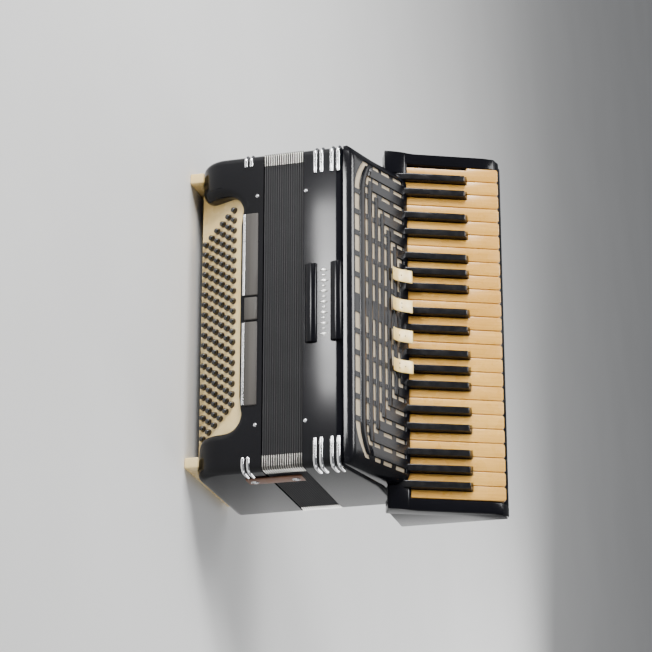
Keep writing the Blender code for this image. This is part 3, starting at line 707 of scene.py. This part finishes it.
def make_front_ornament():
    """Two raised half-round bars on the front panel, and a row of cut stones between them."""
    for i, (low, high) in enumerate(BAR_HEIGHTS):
        radius = (high - low) / 2
        middle = TREBLE_RIM + (low + high) / 2
        relief = BAR_RELIEF / radius
        curve = [(-depth_of * relief, z) for depth_of, z in arc((0, middle), radius, 90, -90, 18)]
        outline = [(0.002, middle + radius)] + [(y, z) for y, z in curve] + [(0.002, middle - radius)]
        bar = section(f"front_bar_{i + 1}", on_section(outline), -BAR_HALF, BAR_HALF, BLACK, 30)
        bevel(bar, 0.0007, 3, 60)
        fix(bar, "treble_side", "black_casing")
    low = TREBLE_RIM + BAR_HEIGHTS[0][1] + 0.0008
    high = TREBLE_RIM + BAR_HEIGHTS[1][0] - 0.0008
    bm = bmesh.new()
    middle, tall = (low + high) / 2, (high - low) / 2 - 0.0012
    for i in range(STONES):
        x = (i - STONES // 2) * STONE_PITCH
        wide, rise = (0.0034, 0.0030) if i % 2 == 0 else (0.0022, 0.0024)
        reach = tall if i % 2 == 0 else tall * 0.55
        base = [(x - wide, middle), (x, middle - reach), (x + wide, middle), (x, middle + reach)]
        outer = [bm.verts.new((px, FRONT + 0.0001, pz)) for px, pz in base]
        table = [(x + (px - x) * 0.45, middle + (pz - middle) * 0.5) for px, pz in base]
        inner = [bm.verts.new((px, FRONT - rise * 0.8, pz)) for px, pz in table]
        skin(bm, (outer, inner), True)
        bm.faces.new(inner)
        bm.faces.new(list(reversed(outer)))
    stones = from_bmesh("ornament_stones", bm, GEM, 5)
    fix(stones, "treble_side", "ornament_stone")


def hoop_path(start, z, side):
    """A line along the front, round the casing's edge and a little way along its end."""
    flat = [(start + (HALF - EDGE - start) * i / 6, FRONT) for i in range(7)]
    bend = arc((HALF - EDGE, FRONT + EDGE), EDGE, -90, 0, 10)[1:]
    end = [(HALF, FRONT + EDGE + HOOP_REACH * i / 4) for i in range(1, 5)]
    return [(side * x, y, z) for x, y in flat + bend + end]


TREBLE_HOOPS = (0.0163, 0.0249, 0.0391, 0.0480)
TREBLE_HOOP_START, BASS_HOOP_START = 0.1864, 0.2055
BASS_HOOPS = (0.0832, 0.0906)
TREBLE_HOOP_RADIUS, BASS_HOOP_RADIUS, HOOP_REACH = 0.0029, 0.0025, 0.020


def make_hoops():
    for side, end in SIDES:
        for body, heights, start, radius in (
            ("treble_side", [TREBLE_RIM + z for z in TREBLE_HOOPS], TREBLE_HOOP_START, TREBLE_HOOP_RADIUS),
            ("bass_side", BASS_HOOPS, BASS_HOOP_START, BASS_HOOP_RADIUS),
        ):
            routes = [hoop_path(start, z, side) for z in heights]
            bars = [tube("hoop", route, radius, CHROME, 0.8) for route in routes]
            name = body.replace("_side", f"_hoops_{end}")
            fix(join(name, bars), body, "chrome_trim")


def front_facing(place):
    """A frame whose Z points out of the front."""
    return Matrix.Translation(place) @ Matrix.Rotation(math.radians(90), 4, "X")


def make_studs():
    profile = [(0.0026, -0.001), (0.0026, 0.0004)] + dome(0.0023, 0.0021)[1:]
    for body, z in (("treble_side", TREBLE_RIM + 0.0036), ("bass_side", BASS_RIM - 0.0083)):
        for side, end in SIDES:
            place = Vector((side * 0.162, FRONT, z))
            stud = turned(f"{body}_stud_{end}", profile, 24, [(0, 0, 0)], CHROME, front_facing(place))
            fix(stud, body, "chrome_trim")


# ---------------------------------------------------------------- keyboard

def key_matrix(x):
    """Local X runs along the key, local Y across it towards -X and local Z up from it."""
    axes = Matrix((
        (0, -1, 0),
        (KEY_ALONG.y, 0, KEY_UP.y),
        (KEY_ALONG.z, 0, KEY_UP.z),
    ))
    return Matrix.Translation((x, AXLE.y, AXLE.z)) @ axes.to_4x4()


def natural_outline(left, right, half):
    """A natural key from above: its tail between left and right, and its head with round corners."""
    shoulder = SHARP_FRONT + KEY_SPLIT
    radius = 0.0034
    points = [(KEY_TAIL, right)]
    if right > NEARLY - half:
        points += [(shoulder, right), (shoulder, -half)]
    points += arc((KEY_FRONT - radius, radius - half), radius, -90, 0, 6)
    points += arc((KEY_FRONT - radius, half - radius), radius, 0, 90, 6)
    if left < half - NEARLY:
        points += [(shoulder, half), (shoulder, left)]
    return points + [(KEY_TAIL, left)]


def make_natural(name, x, clear_high, clear_low):
    """A wooden key with a cream celluloid top that wraps over its front."""
    half = (KEY_PITCH - KEY_SPLIT) / 2
    outline = natural_outline(min(half, clear_high), max(-half, -clear_low), half)
    split = KEY_TOP - 0.0032
    key = prism(name + "_top", outline, split, KEY_TOP, KEY_CREAM)
    bevel(key, 0.0009, 3, 55)
    wood = prism(name + "_wood", outline, KEY_LOW, split - 0.0001, WOOD)
    front = [(KEY_FRONT - 0.0016, -half + 0.002), (KEY_FRONT - 0.0001, -half + 0.0034)]
    front += [(KEY_FRONT - 0.0001, half - 0.0034), (KEY_FRONT - 0.0016, half - 0.002)]
    apron = prism(name + "_front", front, KEY_LOW + 0.0004, split, KEY_CREAM)
    for part in (key, wood, apron):
        part.data.transform(key_matrix(x))
        fix(part, name, "cream_key" if part is not wood else "reed_block_wood")
    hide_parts(name)


def make_sharp(name, x):
    """A black key: its sides lean in, and its nose slopes down to the naturals."""
    half = SHARP_WIDTH / 2
    bm = bmesh.new()
    loops = []
    for start, end, wide, height in (
        (KEY_TAIL, SHARP_FRONT, half, KEY_LOW),
        (KEY_TAIL, SHARP_FRONT, half, KEY_TOP + 0.001),
        (KEY_REAR + 0.0015, SHARP_FRONT - 0.0045, half - 0.0010, SHARP_TOP),
    ):
        corners = ((start, -wide), (end, -wide), (end, wide), (start, wide))
        loops.append([bm.verts.new((a, w, height)) for a, w in corners])
    bm.faces.new(list(reversed(loops[0])))
    bm.faces.new(loops[-1])
    skin(bm, loops, True)
    bm.transform(key_matrix(x))
    key = from_bmesh(name + "_black", bm, EBONY)
    bevel(key, 0.0011, 4, 20)
    fix(key, name, "ebony_key", name)


def make_keys():
    middles = {}
    for joint in KEY_JOINTS:
        name = joint["child"]
        low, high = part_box(name)
        middles[name] = (low.x + high.x) / 2
    sharps = {n: m for n, m in middles.items() if "sharp" in n}
    # The highest natural is cut away as if another sharp followed it.
    edges = [*sharps.values(), -KEYBOARD_HALF - 0.0024]
    whole = sorted(n for n in middles if n not in sharps)
    places = [-KEYBOARD_HALF + KEY_PITCH * (i + 0.5) for i in range(len(whole))]
    clear = SHARP_WIDTH / 2 + KEY_SPLIT
    for name in whole:
        x = min(places, key=lambda place: abs(place - middles[name]))
        near = [edge for edge in edges if abs(edge - x) < KEY_PITCH * 0.7]
        high = min([x - edge - clear for edge in near if edge < x], default=1)
        low = min([edge - x - clear for edge in near if edge > x], default=1)
        make_natural(name, x, high, low)
    for name, x in sharps.items():
        make_sharp(name, x)


FELT_THICK = 0.0012


def make_keybed():
    """The bed under the keys, its felt, and a cheek and a shoulder at each end."""
    above = KEY_LOW - 0.007
    lip = KEY_FRONT + 0.006
    half = KEYBOARD_HALF + 0.0173
    foot = BACK_TOP + 0.0005
    bed = [
        key_plane(0.004, above),
        key_plane(lip - 0.004, above),
        key_plane(lip, above - 0.004),
        (BACK, key_plane(lip, above - 0.004)[1] + 0.001),
        (BACK, foot),
        (key_plane(0.004, above)[0], foot),
    ]
    made = section("keyboard_bed", bed, 0.002 - half, half - 0.002, BLACK)
    bevel(made, 0.0025, 4, 30)
    fix(made, "treble_side", "black_casing", "keybed")
    places = ((0.020, 0), (0.020, FELT_THICK), (0.140, FELT_THICK), (0.140, 0))
    runner = [key_plane(along, above + up) for along, up in places]
    felt = section("key_felt", runner, -KEYBOARD_HALF, KEYBOARD_HALF, FELT)
    fix(felt, "treble_side", "bellows_cloth")
    cheek = [
        key_plane(-0.006, above - 0.001),
        key_plane(-0.006, KEY_TOP + 0.006),
        key_plane(0.022, KEY_TOP + 0.0035),
        key_plane(0.034, KEY_TOP + 0.0005),
        key_plane(KEY_FRONT - 0.020, KEY_TOP - 0.001),
        key_plane(KEY_FRONT - 0.004, KEY_TOP - 0.004),
        key_plane(lip - 0.001, above + 0.003),
        key_plane(lip - 0.001, above - 0.001),
    ]
    shoulder = [
        key_plane(-0.007, KEY_TOP + 0.0008),
        key_plane(0.026, KEY_TOP + 0.0008),
        key_plane(0.022, KEY_TOP + 0.0036),
        key_plane(0.010, KEY_TOP + 0.0060),
        key_plane(-0.007, KEY_TOP + 0.0070),
    ]
    for side, end in SIDES:
        low, high = sorted((side * half, side * (KEYBOARD_HALF + 0.0003)))
        made = section(f"key_cheek_{end}", cheek, low, high, BLACK)
        fix(bevel(made, 0.0045, 6, 20), "treble_side", "black_casing")
        low, high = sorted((side * half, side * (HALF + 0.0003)))
        made = section(f"key_shoulder_{end}", shoulder, low, high, BLACK)
        fix(bevel(made, 0.0022, 5, 20), "treble_side", "black_casing")


TAB_THICK, SPOT_PITCH = 0.0016, 0.0032


def tab_sag(t):
    """How far a tab bows towards the cover: most near its root."""
    return -0.022 * t * (1 - t) ** 2


def make_switches():
    """Curved ivory register tabs, each with its own pattern of dots, as a generic mark."""
    patterns = (((0, 1),), ((-1, 1), (1, 1)), ((0, 2), (0, 0)), ((-1, 0), (0, 2), (1, 0)))
    for number, pattern in enumerate(patterns, 1):
        node = f"register_switch_{number}"
        low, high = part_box(node)
        root = Vector((0, low.y, low.z + 0.0004))
        tip = Vector((0, high.y - 0.0014, high.z - 0.0006))
        along = tip - root
        out = Vector((0, -along.z, along.y)).normalized()
        outline = [root + along * t + out * tab_sag(t) for t in np.linspace(0, 1, 15)]
        upper = [p + out * TAB_THICK for p in outline]
        ring = [(p.y, p.z) for p in outline + upper[::-1]]
        tab = section(f"register_tab_{number}", ring, low.x, high.x, TAB_IVORY, 50)
        bevel(tab, 0.0005, 3, 60)
        fix(tab, node, "switch_ivory", node)
        middle = (low.x + high.x) / 2
        turn = math.atan2(along.z, along.y)
        spots = []
        for across, step in pattern:
            t = 0.50 + 0.14 * (step - 1)
            point = root + along * t + out * (tab_sag(t) + TAB_THICK - 0.0001)
            place = Matrix.Translation((middle + across * SPOT_PITCH, point.y, point.z))
            facing = place @ Matrix.Rotation(turn, 4, "X")
            spots.append(turned("spot", dome(0.0012, 0.0002, 0.0002, 3), 14, [(0, 0, 0)], EBONY, facing))
        fix(join(f"register_mark_{number}", spots), node, "ebony_key")


# ---------------------------------------------------------------- bellows

def bellows_ring(inset, z):
    """A rectangle with round corners, this far in from the casing's faces."""
    half = HALF - CLOTH_INSET - inset
    low, high = FRONT + CLOTH_INSET + inset, BACK - CLOTH_INSET - inset
    radius = FOLD_CORNER
    corners = ((half, high, 0), (-half, high, 90), (-half, low, 180), (half, low, 270))
    points = []
    for x, y, start in corners:
        centre = (x - math.copysign(radius, x), y - (radius if y == high else -radius))
        points += arc(centre, radius, start, start + 90, 3)
    return [(x, y, z) for x, y in points]


CREST = ((0.0012, 0.36), (0, 0.44), (0, 0.56), (0.0012, 0.64))
# Share of each fold, round its crest, that gets the painted highlight cloth.
PAINTED_HIGHLIGHT_BAND = 0.16
CORNER_SECTION = ((0.0004, 0.24), (-0.0007, 0.38), (-0.0009, 0.50), (-0.0007, 0.62), (0.0004, 0.76))


def make_bellows():
    """Folded cloth with a band of painted highlight on each crest, and a metal corner on each fold."""
    low, high = BASS_RIM + CLOTH_GAP, TREBLE_RIM - CLOTH_GAP
    pitch = (high - low) / FOLDS
    levels = [(FOLD_DEPTH, low)]
    for i in range(FOLDS):
        base = low + i * pitch
        levels += [(inset, base + pitch * share) for inset, share in (*CREST, (FOLD_DEPTH, 1))]
    levels += [(FOLD_DEPTH + 0.002, high), (FOLD_DEPTH + 0.002, low)]
    bm = bmesh.new()
    rings = [[bm.verts.new(p) for p in bellows_ring(inset, z)] for inset, z in levels]
    skin(bm, rings + rings[:1], True)
    folds = from_bmesh("bellows_folds", bm, BELLOWS_CLOTH, 60)
    # Second material: the lighter crest cloth, painted highlight on the crests against the darker valleys.
    folds.data.materials.append(CREST_HIGHLIGHT_CLOTH)
    for face in folds.data.polygons:
        if abs((face.center.z - low) / pitch % 1 - 0.5) < PAINTED_HIGHLIGHT_BAND:
            face.material_index = 1
    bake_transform(folds)
    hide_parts("bellows")

    metal = bmesh.new()
    for i in range(FOLDS):
        base = low + i * pitch
        rows = [corner_lines(inset, base + pitch * share) for inset, share in CORNER_SECTION]
        for lines in zip(*rows):
            skin(metal, [[metal.verts.new(p) for p in line] for line in lines])
    corners = from_bmesh("bellows_corners", metal, CORNER_METAL, 60)
    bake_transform(corners)


CORNER_FRONT, CORNER_SIDE = 0.2048, 0.020


def corner_lines(inset, z):
    """The four lines that a fold's corner protectors follow at this height."""
    half = HALF - CLOTH_INSET - inset
    lines = []
    for side in (-1, 1):
        for face, sign in ((FRONT + CLOTH_INSET + inset, 1), (BACK - CLOTH_INSET - inset, -1)):
            bend = arc((half - FOLD_CORNER, FOLD_CORNER), FOLD_CORNER, -90, 0, 4)
            line = [(CORNER_FRONT, 0)] + bend + [(half, CORNER_SIDE)]
            lines.append([(side * x, face + sign * y, z) for x, y in line])
    return lines


# ---------------------------------------------------------------- bass side

RECESS_HALF, RECESS_LOW = 0.168, -0.115
FLARE_START, FLARE_ROUND, FLARE_TURN = -0.050, 0.028, 76
RECESS_CORNER_X, RECESS_CORNER_Y = 0.030, 0.024
BOARD_SHELF, BUTTON_SPACE = 0.0032, 0.0095
AIR_PLAY, AIR_DEEP = 0.0006, 0.020
FOOT_ROUND = 0.041
LIP_SMALL, LIP_LARGE = 0.0018, 0.0125
TUCK = 0.0003


def recess_outline(margin=0.0, low=RECESS_LOW):
    """The sunken board's outline: straight sides that curve apart at the foot."""
    half = RECESS_HALF + margin
    right = [((half - RECESS_CORNER_X) * i / 8, 0) for i in range(8)]
    for t in np.linspace(0, math.pi / 2, 17):
        across = half - RECESS_CORNER_X + RECESS_CORNER_X * math.sin(t)
        right.append((across, -RECESS_CORNER_Y + RECESS_CORNER_Y * math.cos(t)))
    right.append((half, -0.037))
    for t in np.radians(np.linspace(0, FLARE_TURN, 12)):
        right.append((half + FLARE_ROUND * (1 - math.cos(t)), FLARE_START - FLARE_ROUND * math.sin(t)))
    right = [p for p in right if p[1] > low + TUCK]
    right.append((right[-1][0] + TUCK, low))
    return [(-x, y) for x, y in reversed(right[1:])] + right


def lip_radius(x):
    """How round the recess's edge is here: crisp along the ledge, full on the horns."""
    share = min(1, max(0, (abs(x) - 0.128) / 0.026))
    return LIP_SMALL + (LIP_LARGE - LIP_SMALL) * share * share * (3 - 2 * share)


def offset_outline(points, share, extra=0.0):
    """The outline moved out by a share of its edge radius."""
    moved = []
    for i, (x, y) in enumerate(points):
        before, after = points[max(0, i - 1)], points[min(len(points) - 1, i + 1)]
        along = Vector((after[0] - before[0], after[1] - before[1])).normalized()
        distance = share * lip_radius(x) + extra
        moved.append((x - along.y * distance, y + along.x * distance))
    return moved


def casing_height(x, y):
    """How far the casing's outer face stands above this point of the board's plane."""
    place = BOARD_MATRIX @ Vector((x, y, 0))
    ahead, down = math.sin(BOARD_TILT), -math.cos(BOARD_TILT)
    depth, z = place.y - FRONT, place.z
    straight = depth / ahead
    centre = BASS_FACE + FOOT_ROUND
    if z - straight * down >= centre:
        return straight
    side, up = depth - FOOT_ROUND, z - centre
    half_way = side * ahead + up * down
    reach = half_way * half_way - side * side - up * up + FOOT_ROUND ** 2
    return max(0, half_way + math.sqrt(max(0, reach)))


def make_recess_lip():
    """The recess's wall and its rounded edge, which swells into a horn at each end."""
    outline = recess_outline()
    rings = [[(x, y, -0.003) for x, y in outline]]
    for turn in np.radians(np.linspace(0, 90, 13)):
        ring = []
        for (x, y), (px, py) in zip(outline, offset_outline(outline, 1 - math.cos(turn))):
            height = casing_height(px, py)
            radius = min(lip_radius(x), height)
            ring.append((px, py, height - radius * (1 - math.sin(turn))))
        rings.append(ring)
    tucked = offset_outline(outline, 1, 2 * TUCK)
    rings.append([(x, y, casing_height(x, y) - TUCK) for x, y in tucked])
    bm = bmesh.new()
    skin(bm, [[bm.verts.new(BOARD_MATRIX @ Vector(p)) for p in ring] for ring in rings])
    every = [*bm.verts, *bm.edges, *bm.faces]
    foot = (0, 0, BASS_FACE + TUCK)
    bmesh.ops.bisect_plane(bm, geom=every, plane_co=foot, plane_no=(0, 0, 1), clear_inner=True)
    lip = from_bmesh("bass_horns", bm, BLACK, 80)
    return fix(lip, "bass_side", "black_casing")


def button_field(margin):
    """A rectangle on the board's plane that holds every button."""
    places = [button_place(column, row) for row in range(ROWS) for column in (0, COLUMNS - 1)]
    low_x, high_x = min(p[0] for p in places) - margin, max(p[0] for p in places) + margin
    low_y, high_y = min(p[1] for p in places) - margin, max(p[1] for p in places) + margin
    return [(low_x, low_y), (high_x, low_y), (high_x, high_y), (low_x, high_y)]


def air_hole():
    """The round hole that the air button slides in."""
    low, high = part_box("air_button")
    radius = (high.x - low.x) / 2 + AIR_PLAY
    return turned("air_hole", [(radius, -AIR_DEEP), (radius, AIR_DEEP)], 40, [(low + high) / 2], BLACK)


def make_bass_shell():
    skirt = BASS_RIM + 3 * EDGE
    lower = arc((FOOT_ROUND, FOOT_ROUND + BASS_FACE), FOOT_ROUND, 180, 270, 20)
    outer = [(0, skirt)] + lower + [(DEPTH, BASS_FACE), (DEPTH, skirt)]
    shell = section("bass_shell", on_section(outer), -HALF, HALF, BLACK)
    bevel(shell, EDGE, 7, 40)
    opening = offset_outline(recess_outline(), 1, -TUCK)
    boolean(shell, prism("recess", opening, -BOARD_SHELF, 0.060, BLACK, BOARD_MATRIX))
    boolean(shell, prism("button_space", button_field(0.004), -BUTTON_SPACE, 0, BLACK, BOARD_MATRIX))
    boolean(shell, air_hole())
    rim = block("skirt", (-0.3, -0.2, BASS_RIM), (0.3, 0.2, skirt + 0.01), BLACK)
    boolean(shell, rim)
    low = (WALL - HALF, FRONT + 0.012, BASS_RIM - 0.006)
    high = (HALF - WALL, BACK - WALL, BASS_RIM + 0.01)
    boolean(shell, block("hollow", low, high, BLACK))
    fix(shell, "bass_side", "black_casing", "bass_casing")


def button_place(column, row):
    x = BUTTON_CENTRE + (column - (COLUMNS - 1) / 2) * COLUMN_PITCH
    x += (row - (ROWS - 1) / 2) * ROW_SLANT
    return x, -FIRST_ROW - row * ROW_PITCH, 0


def make_board():
    outline = recess_outline(0.0003, -BOARD_WIDTH)
    board = prism("button_board", outline, -0.0030, 0, BOARD_CREAM, BOARD_MATRIX)
    bevel(board, 0.0006, 2, 50)
    places = [button_place(column, row) for row in range(ROWS) for column in range(COLUMNS)]
    holes = [(BUTTON_RADIUS + 0.0003, -0.010), (BUTTON_RADIUS + 0.0003, 0.010)]
    boolean(board, turned("holes", holes, 20, places, FELT, BOARD_MATRIX))
    fix(board, "bass_side", "cream_board", "bass_button_board")
    # A thin dark ring round each button: painted shade of the hole that the button rises from.
    rim = BUTTON_RADIUS + 0.0007
    ring = [(rim, -0.0002), (rim, 0.0003), (BUTTON_RADIUS + 0.0001, 0.0005)]
    hole_shade = turned("button_painted_hole_shade", ring, 20, places, FELT, BOARD_MATRIX)
    fix(hole_shade, "bass_side", "black_button")
    straight = BUTTON_RISE - 0.0024
    profile = [(BUTTON_RADIUS - 0.0002, -0.002), (BUTTON_RADIUS - 0.0002, straight)]
    profile += [(r, straight + h) for r, h in dome(BUTTON_RADIUS - 0.0002, 0.0024)[2:]]
    split = BASS_ROWS * COLUMNS
    for node, group in (("bass_buttons", places[:split]), ("chord_buttons", places[split:])):
        buttons = turned(node + "_domed", profile, 18, group, BUTTON_BLACK, BOARD_MATRIX, 50)
        fix(buttons, node, "black_button", node)


PANEL_LOW, PANEL_HIGH = 0.0832, 0.1013
PANELS = (("high", -0.137, -0.0185), ("low", 0.0185, 0.135))


def make_ledge_panels():
    """Grey panels let into the ledge above the buttons, and the register bar between them."""
    for name, low_x, high_x in PANELS:
        low, high = (low_x, FRONT - 0.0022, PANEL_LOW), (high_x, FRONT + 0.001, PANEL_HIGH)
        panel = block(f"ledge_panel_{name}", low, high, GREY)
        fix(bevel(panel, 0.0016, 4, 40), "bass_side", "grey_register_metal")
        route = [(x, FRONT - 0.0004, PANEL_LOW - 0.0012) for x in (low_x + 0.001, high_x - 0.001)]
        strip = tube(f"ledge_edge_{name}", route, 0.0021, CHROME)
        fix(strip, "bass_side", "chrome_trim")
    low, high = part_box("bass_register_bar")
    bar = block("register_bar", low, high, GREY)
    bevel(bar, 0.0014, 4, 40)
    fix(bar, "bass_register_bar", "grey_register_metal", "bass_register_bar")


RAIL_WIDE = 0.015


def make_end_plate():
    """The plate under the bass end, its air button and the two foot rails."""
    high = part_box("bass_end_plate")[1]
    face = BASS_FACE - 0.0003
    half = high.x - RAIL_WIDE - 0.0003
    plate_low, plate_high = (-half, FRONT + 0.0445, face - 0.003), (half, BACK - 0.006, face)
    plate = block("end_plate", plate_low, plate_high, BLACK)
    bevel(plate, 0.0008, 3, 40)
    air_low, air_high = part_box("air_button")
    middle = (air_low + air_high) / 2
    radius = (air_high.x - air_low.x) / 2
    boolean(plate, air_hole())
    vents = [
        block("vent", (x, FRONT + 0.085, face - 0.02), (x + 0.004, FRONT + 0.150, face + 0.02), BLACK)
        for x in np.arange(-0.100, 0.101, 0.020)
    ]
    boolean(plate, join("vents", vents))
    fix(plate, "bass_side", "black_casing", "bass_end_plate")
    profile = [(radius - 0.0012, -0.0036), (radius, -0.0024), (radius, 0.0036)]
    button = turned("air_button_cap", [(0.0005, -0.0036 + 0.0002)] + profile, 40, [middle], TAB_IVORY)
    fix(button, "air_button", "cream_board", "air_button")
    for side, end in SIDES:
        middle_x = side * (high.x - RAIL_WIDE / 2)
        rail = [(0.010, 0.0195), (0.010, 0), (DEPTH - 0.005, 0), (DEPTH - 0.005, face - 0.0005)]
        rail += [(0.0405, face), (0.0250, 0.0150), (0.0135, 0.0195)]
        low_x, high_x = middle_x - RAIL_WIDE / 2, middle_x + RAIL_WIDE / 2
        foot = section(f"foot_rail_{end}", on_section(rail), low_x, high_x, BOARD_CREAM)
        fix(bevel(foot, 0.0022, 5, 40), "bass_side", "cream_board")


def make_hand_strap():
    """The arched leather hand strap, with a row of stitches along each edge."""
    low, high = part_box("bass_strap")
    ends, run, thick = high.x, high.x - 0.022, 0.004
    rise = high.y - BACK - thick - 0.0006
    steps = np.linspace(-1, 1, 41)
    bow = [(t * run, rise * math.cos(t * math.pi / 2) ** 0.8) for t in steps]
    bow = [(-ends, 0), *bow, (ends, 0)]
    inner = [(x, BACK + 0.0003 + y) for x, y in bow]
    outer = [(x, y + thick) for x, y in reversed(inner)]
    strap = prism("hand_strap", inner + outer, low.z, high.z, LEATHER, None, 50)
    fix(bevel(strap, 0.0013, 3, 60), "bass_side", "strap_leather", "bass_strap")
    seams = []
    for z in (low.z + 0.005, high.z - 0.005):
        route = [Vector((x, BACK + 0.0003 + y + thick, z)) for x, y in bow]
        lengths = np.cumsum([0] + [(b - a).length for a, b in zip(route, route[1:])])
        for start in np.arange(0.006, lengths[-1] - 0.008, 0.0062):
            ends_at = []
            for distance in (start, start + 0.0042):
                i = min(int(np.searchsorted(lengths, distance)), len(route) - 1)
                share = (distance - lengths[i - 1]) / (lengths[i] - lengths[i - 1])
                ends_at.append(route[i - 1].lerp(route[i], float(share)))
            seams.append(tube("stitch", ends_at, 0.00045, THREAD))
    fix(join("hand_strap_stitches", seams), "bass_side", "strap_leather")
    for side, end in SIDES:
        x = side * (high.x - 0.011)
        middle_z = (low.z + high.z) / 2
        keeper_low = (x - 0.008, BACK + 0.0042, middle_z - 0.022)
        keeper_high = (x + 0.008, BACK + 0.0062, middle_z + 0.022)
        keeper = block(f"strap_plate_{end}", keeper_low, keeper_high, CHROME)
        fix(bevel(keeper, 0.0007, 3, 40), "bass_side", "chrome_trim")


def make_closing_strap():
    """The short strap over the bellows, with a snap at each end."""
    low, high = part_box("bellows_strap")
    belt = block("closing_strap", low, (high.x - 0.0004, high.y, high.z), LEATHER)
    fix(bevel(belt, 0.0009, 3, 40), "bass_side", "strap_leather", "bellows_strap")
    for name, z in (("lower", low.z + 0.010), ("upper", high.z - 0.010)):
        place = Matrix.Translation((high.x - 0.0004, (low.y + high.y) / 2, z))
        turn = place @ Matrix.Rotation(math.radians(90), 4, "Y")
        profile = [(0.0055, -0.0004), (0.0055, 0.0006), (0.0042, 0.0012)] + dome(0.0036, 0.0018)[1:]
        snap = turned(f"strap_snap_{name}", profile, 28, [(0, 0, 0)], CHROME, turn)
        fix(snap, "bass_side", "chrome_trim")


def make_back_fittings():
    """Screws, and the two chrome loops that the shoulder straps hook on."""
    facing_back = Matrix.Rotation(math.radians(-90), 4, "X")
    head = [(SCREW_RADIUS, -0.0004), (SCREW_RADIUS, 0.0004)] + dome(SCREW_RADIUS, 0.0014)[2:]
    turn = Matrix.Translation((0, BACK, 0)) @ facing_back
    rows = {"treble_side": (TREBLE_RIM + 0.009, BACK_TOP - 0.010), "bass_side": (BASS_RIM - 0.009,)}
    for body, heights in rows.items():
        places = [(x, -z, 0) for z in heights for x in (-0.205, -0.070, 0.070, 0.205)]
        screws = turned(f"{body}_back_screws", head, 20, places, CHROME, turn)
        fix(screws, body, "chrome_trim")
    for side, end in SIDES:
        x, z = side * 0.170, TREBLE_RIM + 0.026
        low, high = (x - 0.009, BACK, z - 0.013), (x + 0.009, BACK + 0.0022, z + 0.013)
        plate = block(f"strap_bracket_{end}", low, high, CHROME)
        fix(bevel(plate, 0.0008, 3, 40), "treble_side", "chrome_trim")
        loop = [(x + px, BACK + 0.002 + py, z) for px, py in arc((0, 0), 0.0085, 0, 180, 18)]
        ring = tube(f"strap_loop_{end}", loop, 0.0018, CHROME)
        fix(ring, "treble_side", "chrome_trim")


def finish_inner_nodes():
    """CAD nodes whose shape stays get their detailed material."""
    for name, finish in (("key_axle", CHROME), ("treble_reed_block", WOOD)):
        slots_of = frame["nodes"][name].data.materials
        slots_of.clear()
        slots_of.append(finish)


# ---------------------------------------------------------------- stage

CAMERA_AIM = Vector((0.0293, -0.1057, 0.1919))
CAMERA_PLACE = Vector((1.10586, -2.89841, 0.96008))
IMAGE_RIGHT = Vector((0, 0.2652, 0.9642))
SENSOR, FOCAL_SHARE = 36, 2350 / 652


def make_camera():
    """A camera lying on its side, as the instrument stands on its bass end: up in its view is -X."""
    data = bpy.data.cameras.new("camera")
    data.sensor_width = SENSOR
    data.lens = SENSOR * FOCAL_SHARE
    data.clip_end = 50
    camera = bpy.data.objects.new("camera", data)
    bpy.context.scene.collection.objects.link(camera)
    ahead = (CAMERA_AIM - CAMERA_PLACE).normalized()
    up = IMAGE_RIGHT.cross(ahead).normalized()
    right = ahead.cross(up)
    turn = Matrix((right, up, -ahead)).transposed()
    camera.matrix_world = Matrix.Translation(CAMERA_PLACE) @ turn.to_4x4()
    bpy.context.scene.camera = camera


def area_light(name, place, aim, width, height, power, spread=math.pi):
    data = bpy.data.lights.new(name, "AREA")
    data.shape = "RECTANGLE"
    data.size, data.size_y = width, height
    data.energy = power
    data.spread = spread
    light = bpy.data.objects.new(name, data)
    bpy.context.scene.collection.objects.link(light)
    light.location = place
    light.rotation_euler = (Vector(aim) - Vector(place)).to_track_quat("-Z", "Y").to_euler()
    light.visible_camera = False


def make_stage():
    bm = bmesh.new()
    bmesh.ops.create_grid(bm, x_segments=2, y_segments=2, size=8)
    mesh = bpy.data.meshes.new("floor")
    bm.to_mesh(mesh)
    bm.free()
    floor = bpy.data.objects.new("floor", mesh)
    bpy.context.scene.collection.objects.link(floor)
    mesh.materials.append(floor_paint())
    floor.location.z = cad_box[0][2]
    centre = (0, -0.05, 0.2)
    area_light("key_light", (-2.2, -1.7, 0.9), centre, 0.9, 0.9, 140)
    beam = math.radians(30)
    area_light("panel_card", (-0.27, -0.80, 0.080), (0.078, 0.104, 0.329), 0.42, 0.10, 0.26, beam)
    area_light("top_light", (-0.85, -0.58, 2.2), (0, 0, 0.35), 0.8, 0.8, 42)
    area_light("cover_light", (-0.75, 0.70, 1.85), (0, -0.06, 0.26), 1.0, 1.0, 7)
    area_light("back_light", (0.5, 2.2, 1.0), centre, 1.2, 1.2, 30)
    area_light("low_end_light", (2.2, -0.2, 0.8), centre, 1.0, 1.0, 10)
    world = bpy.data.worlds.new("studio")
    world.use_nodes = True
    background = world.node_tree.nodes["Background"]
    background.inputs["Color"].default_value = (0.94, 0.96, 1.0, 1)
    background.inputs["Strength"].default_value = 0.22
    bpy.context.scene.world = world


make_camera()
make_treble_shell()
make_cover()
make_grille_cloth()
make_front_ornament()
make_hoops()
make_studs()
make_keys()
make_keybed()
make_switches()
make_bellows()
make_bass_shell()
make_recess_lip()
make_board()
make_ledge_panels()
make_end_plate()
make_hand_strap()
make_closing_strap()
make_back_fittings()
finish_inner_nodes()
make_stage()
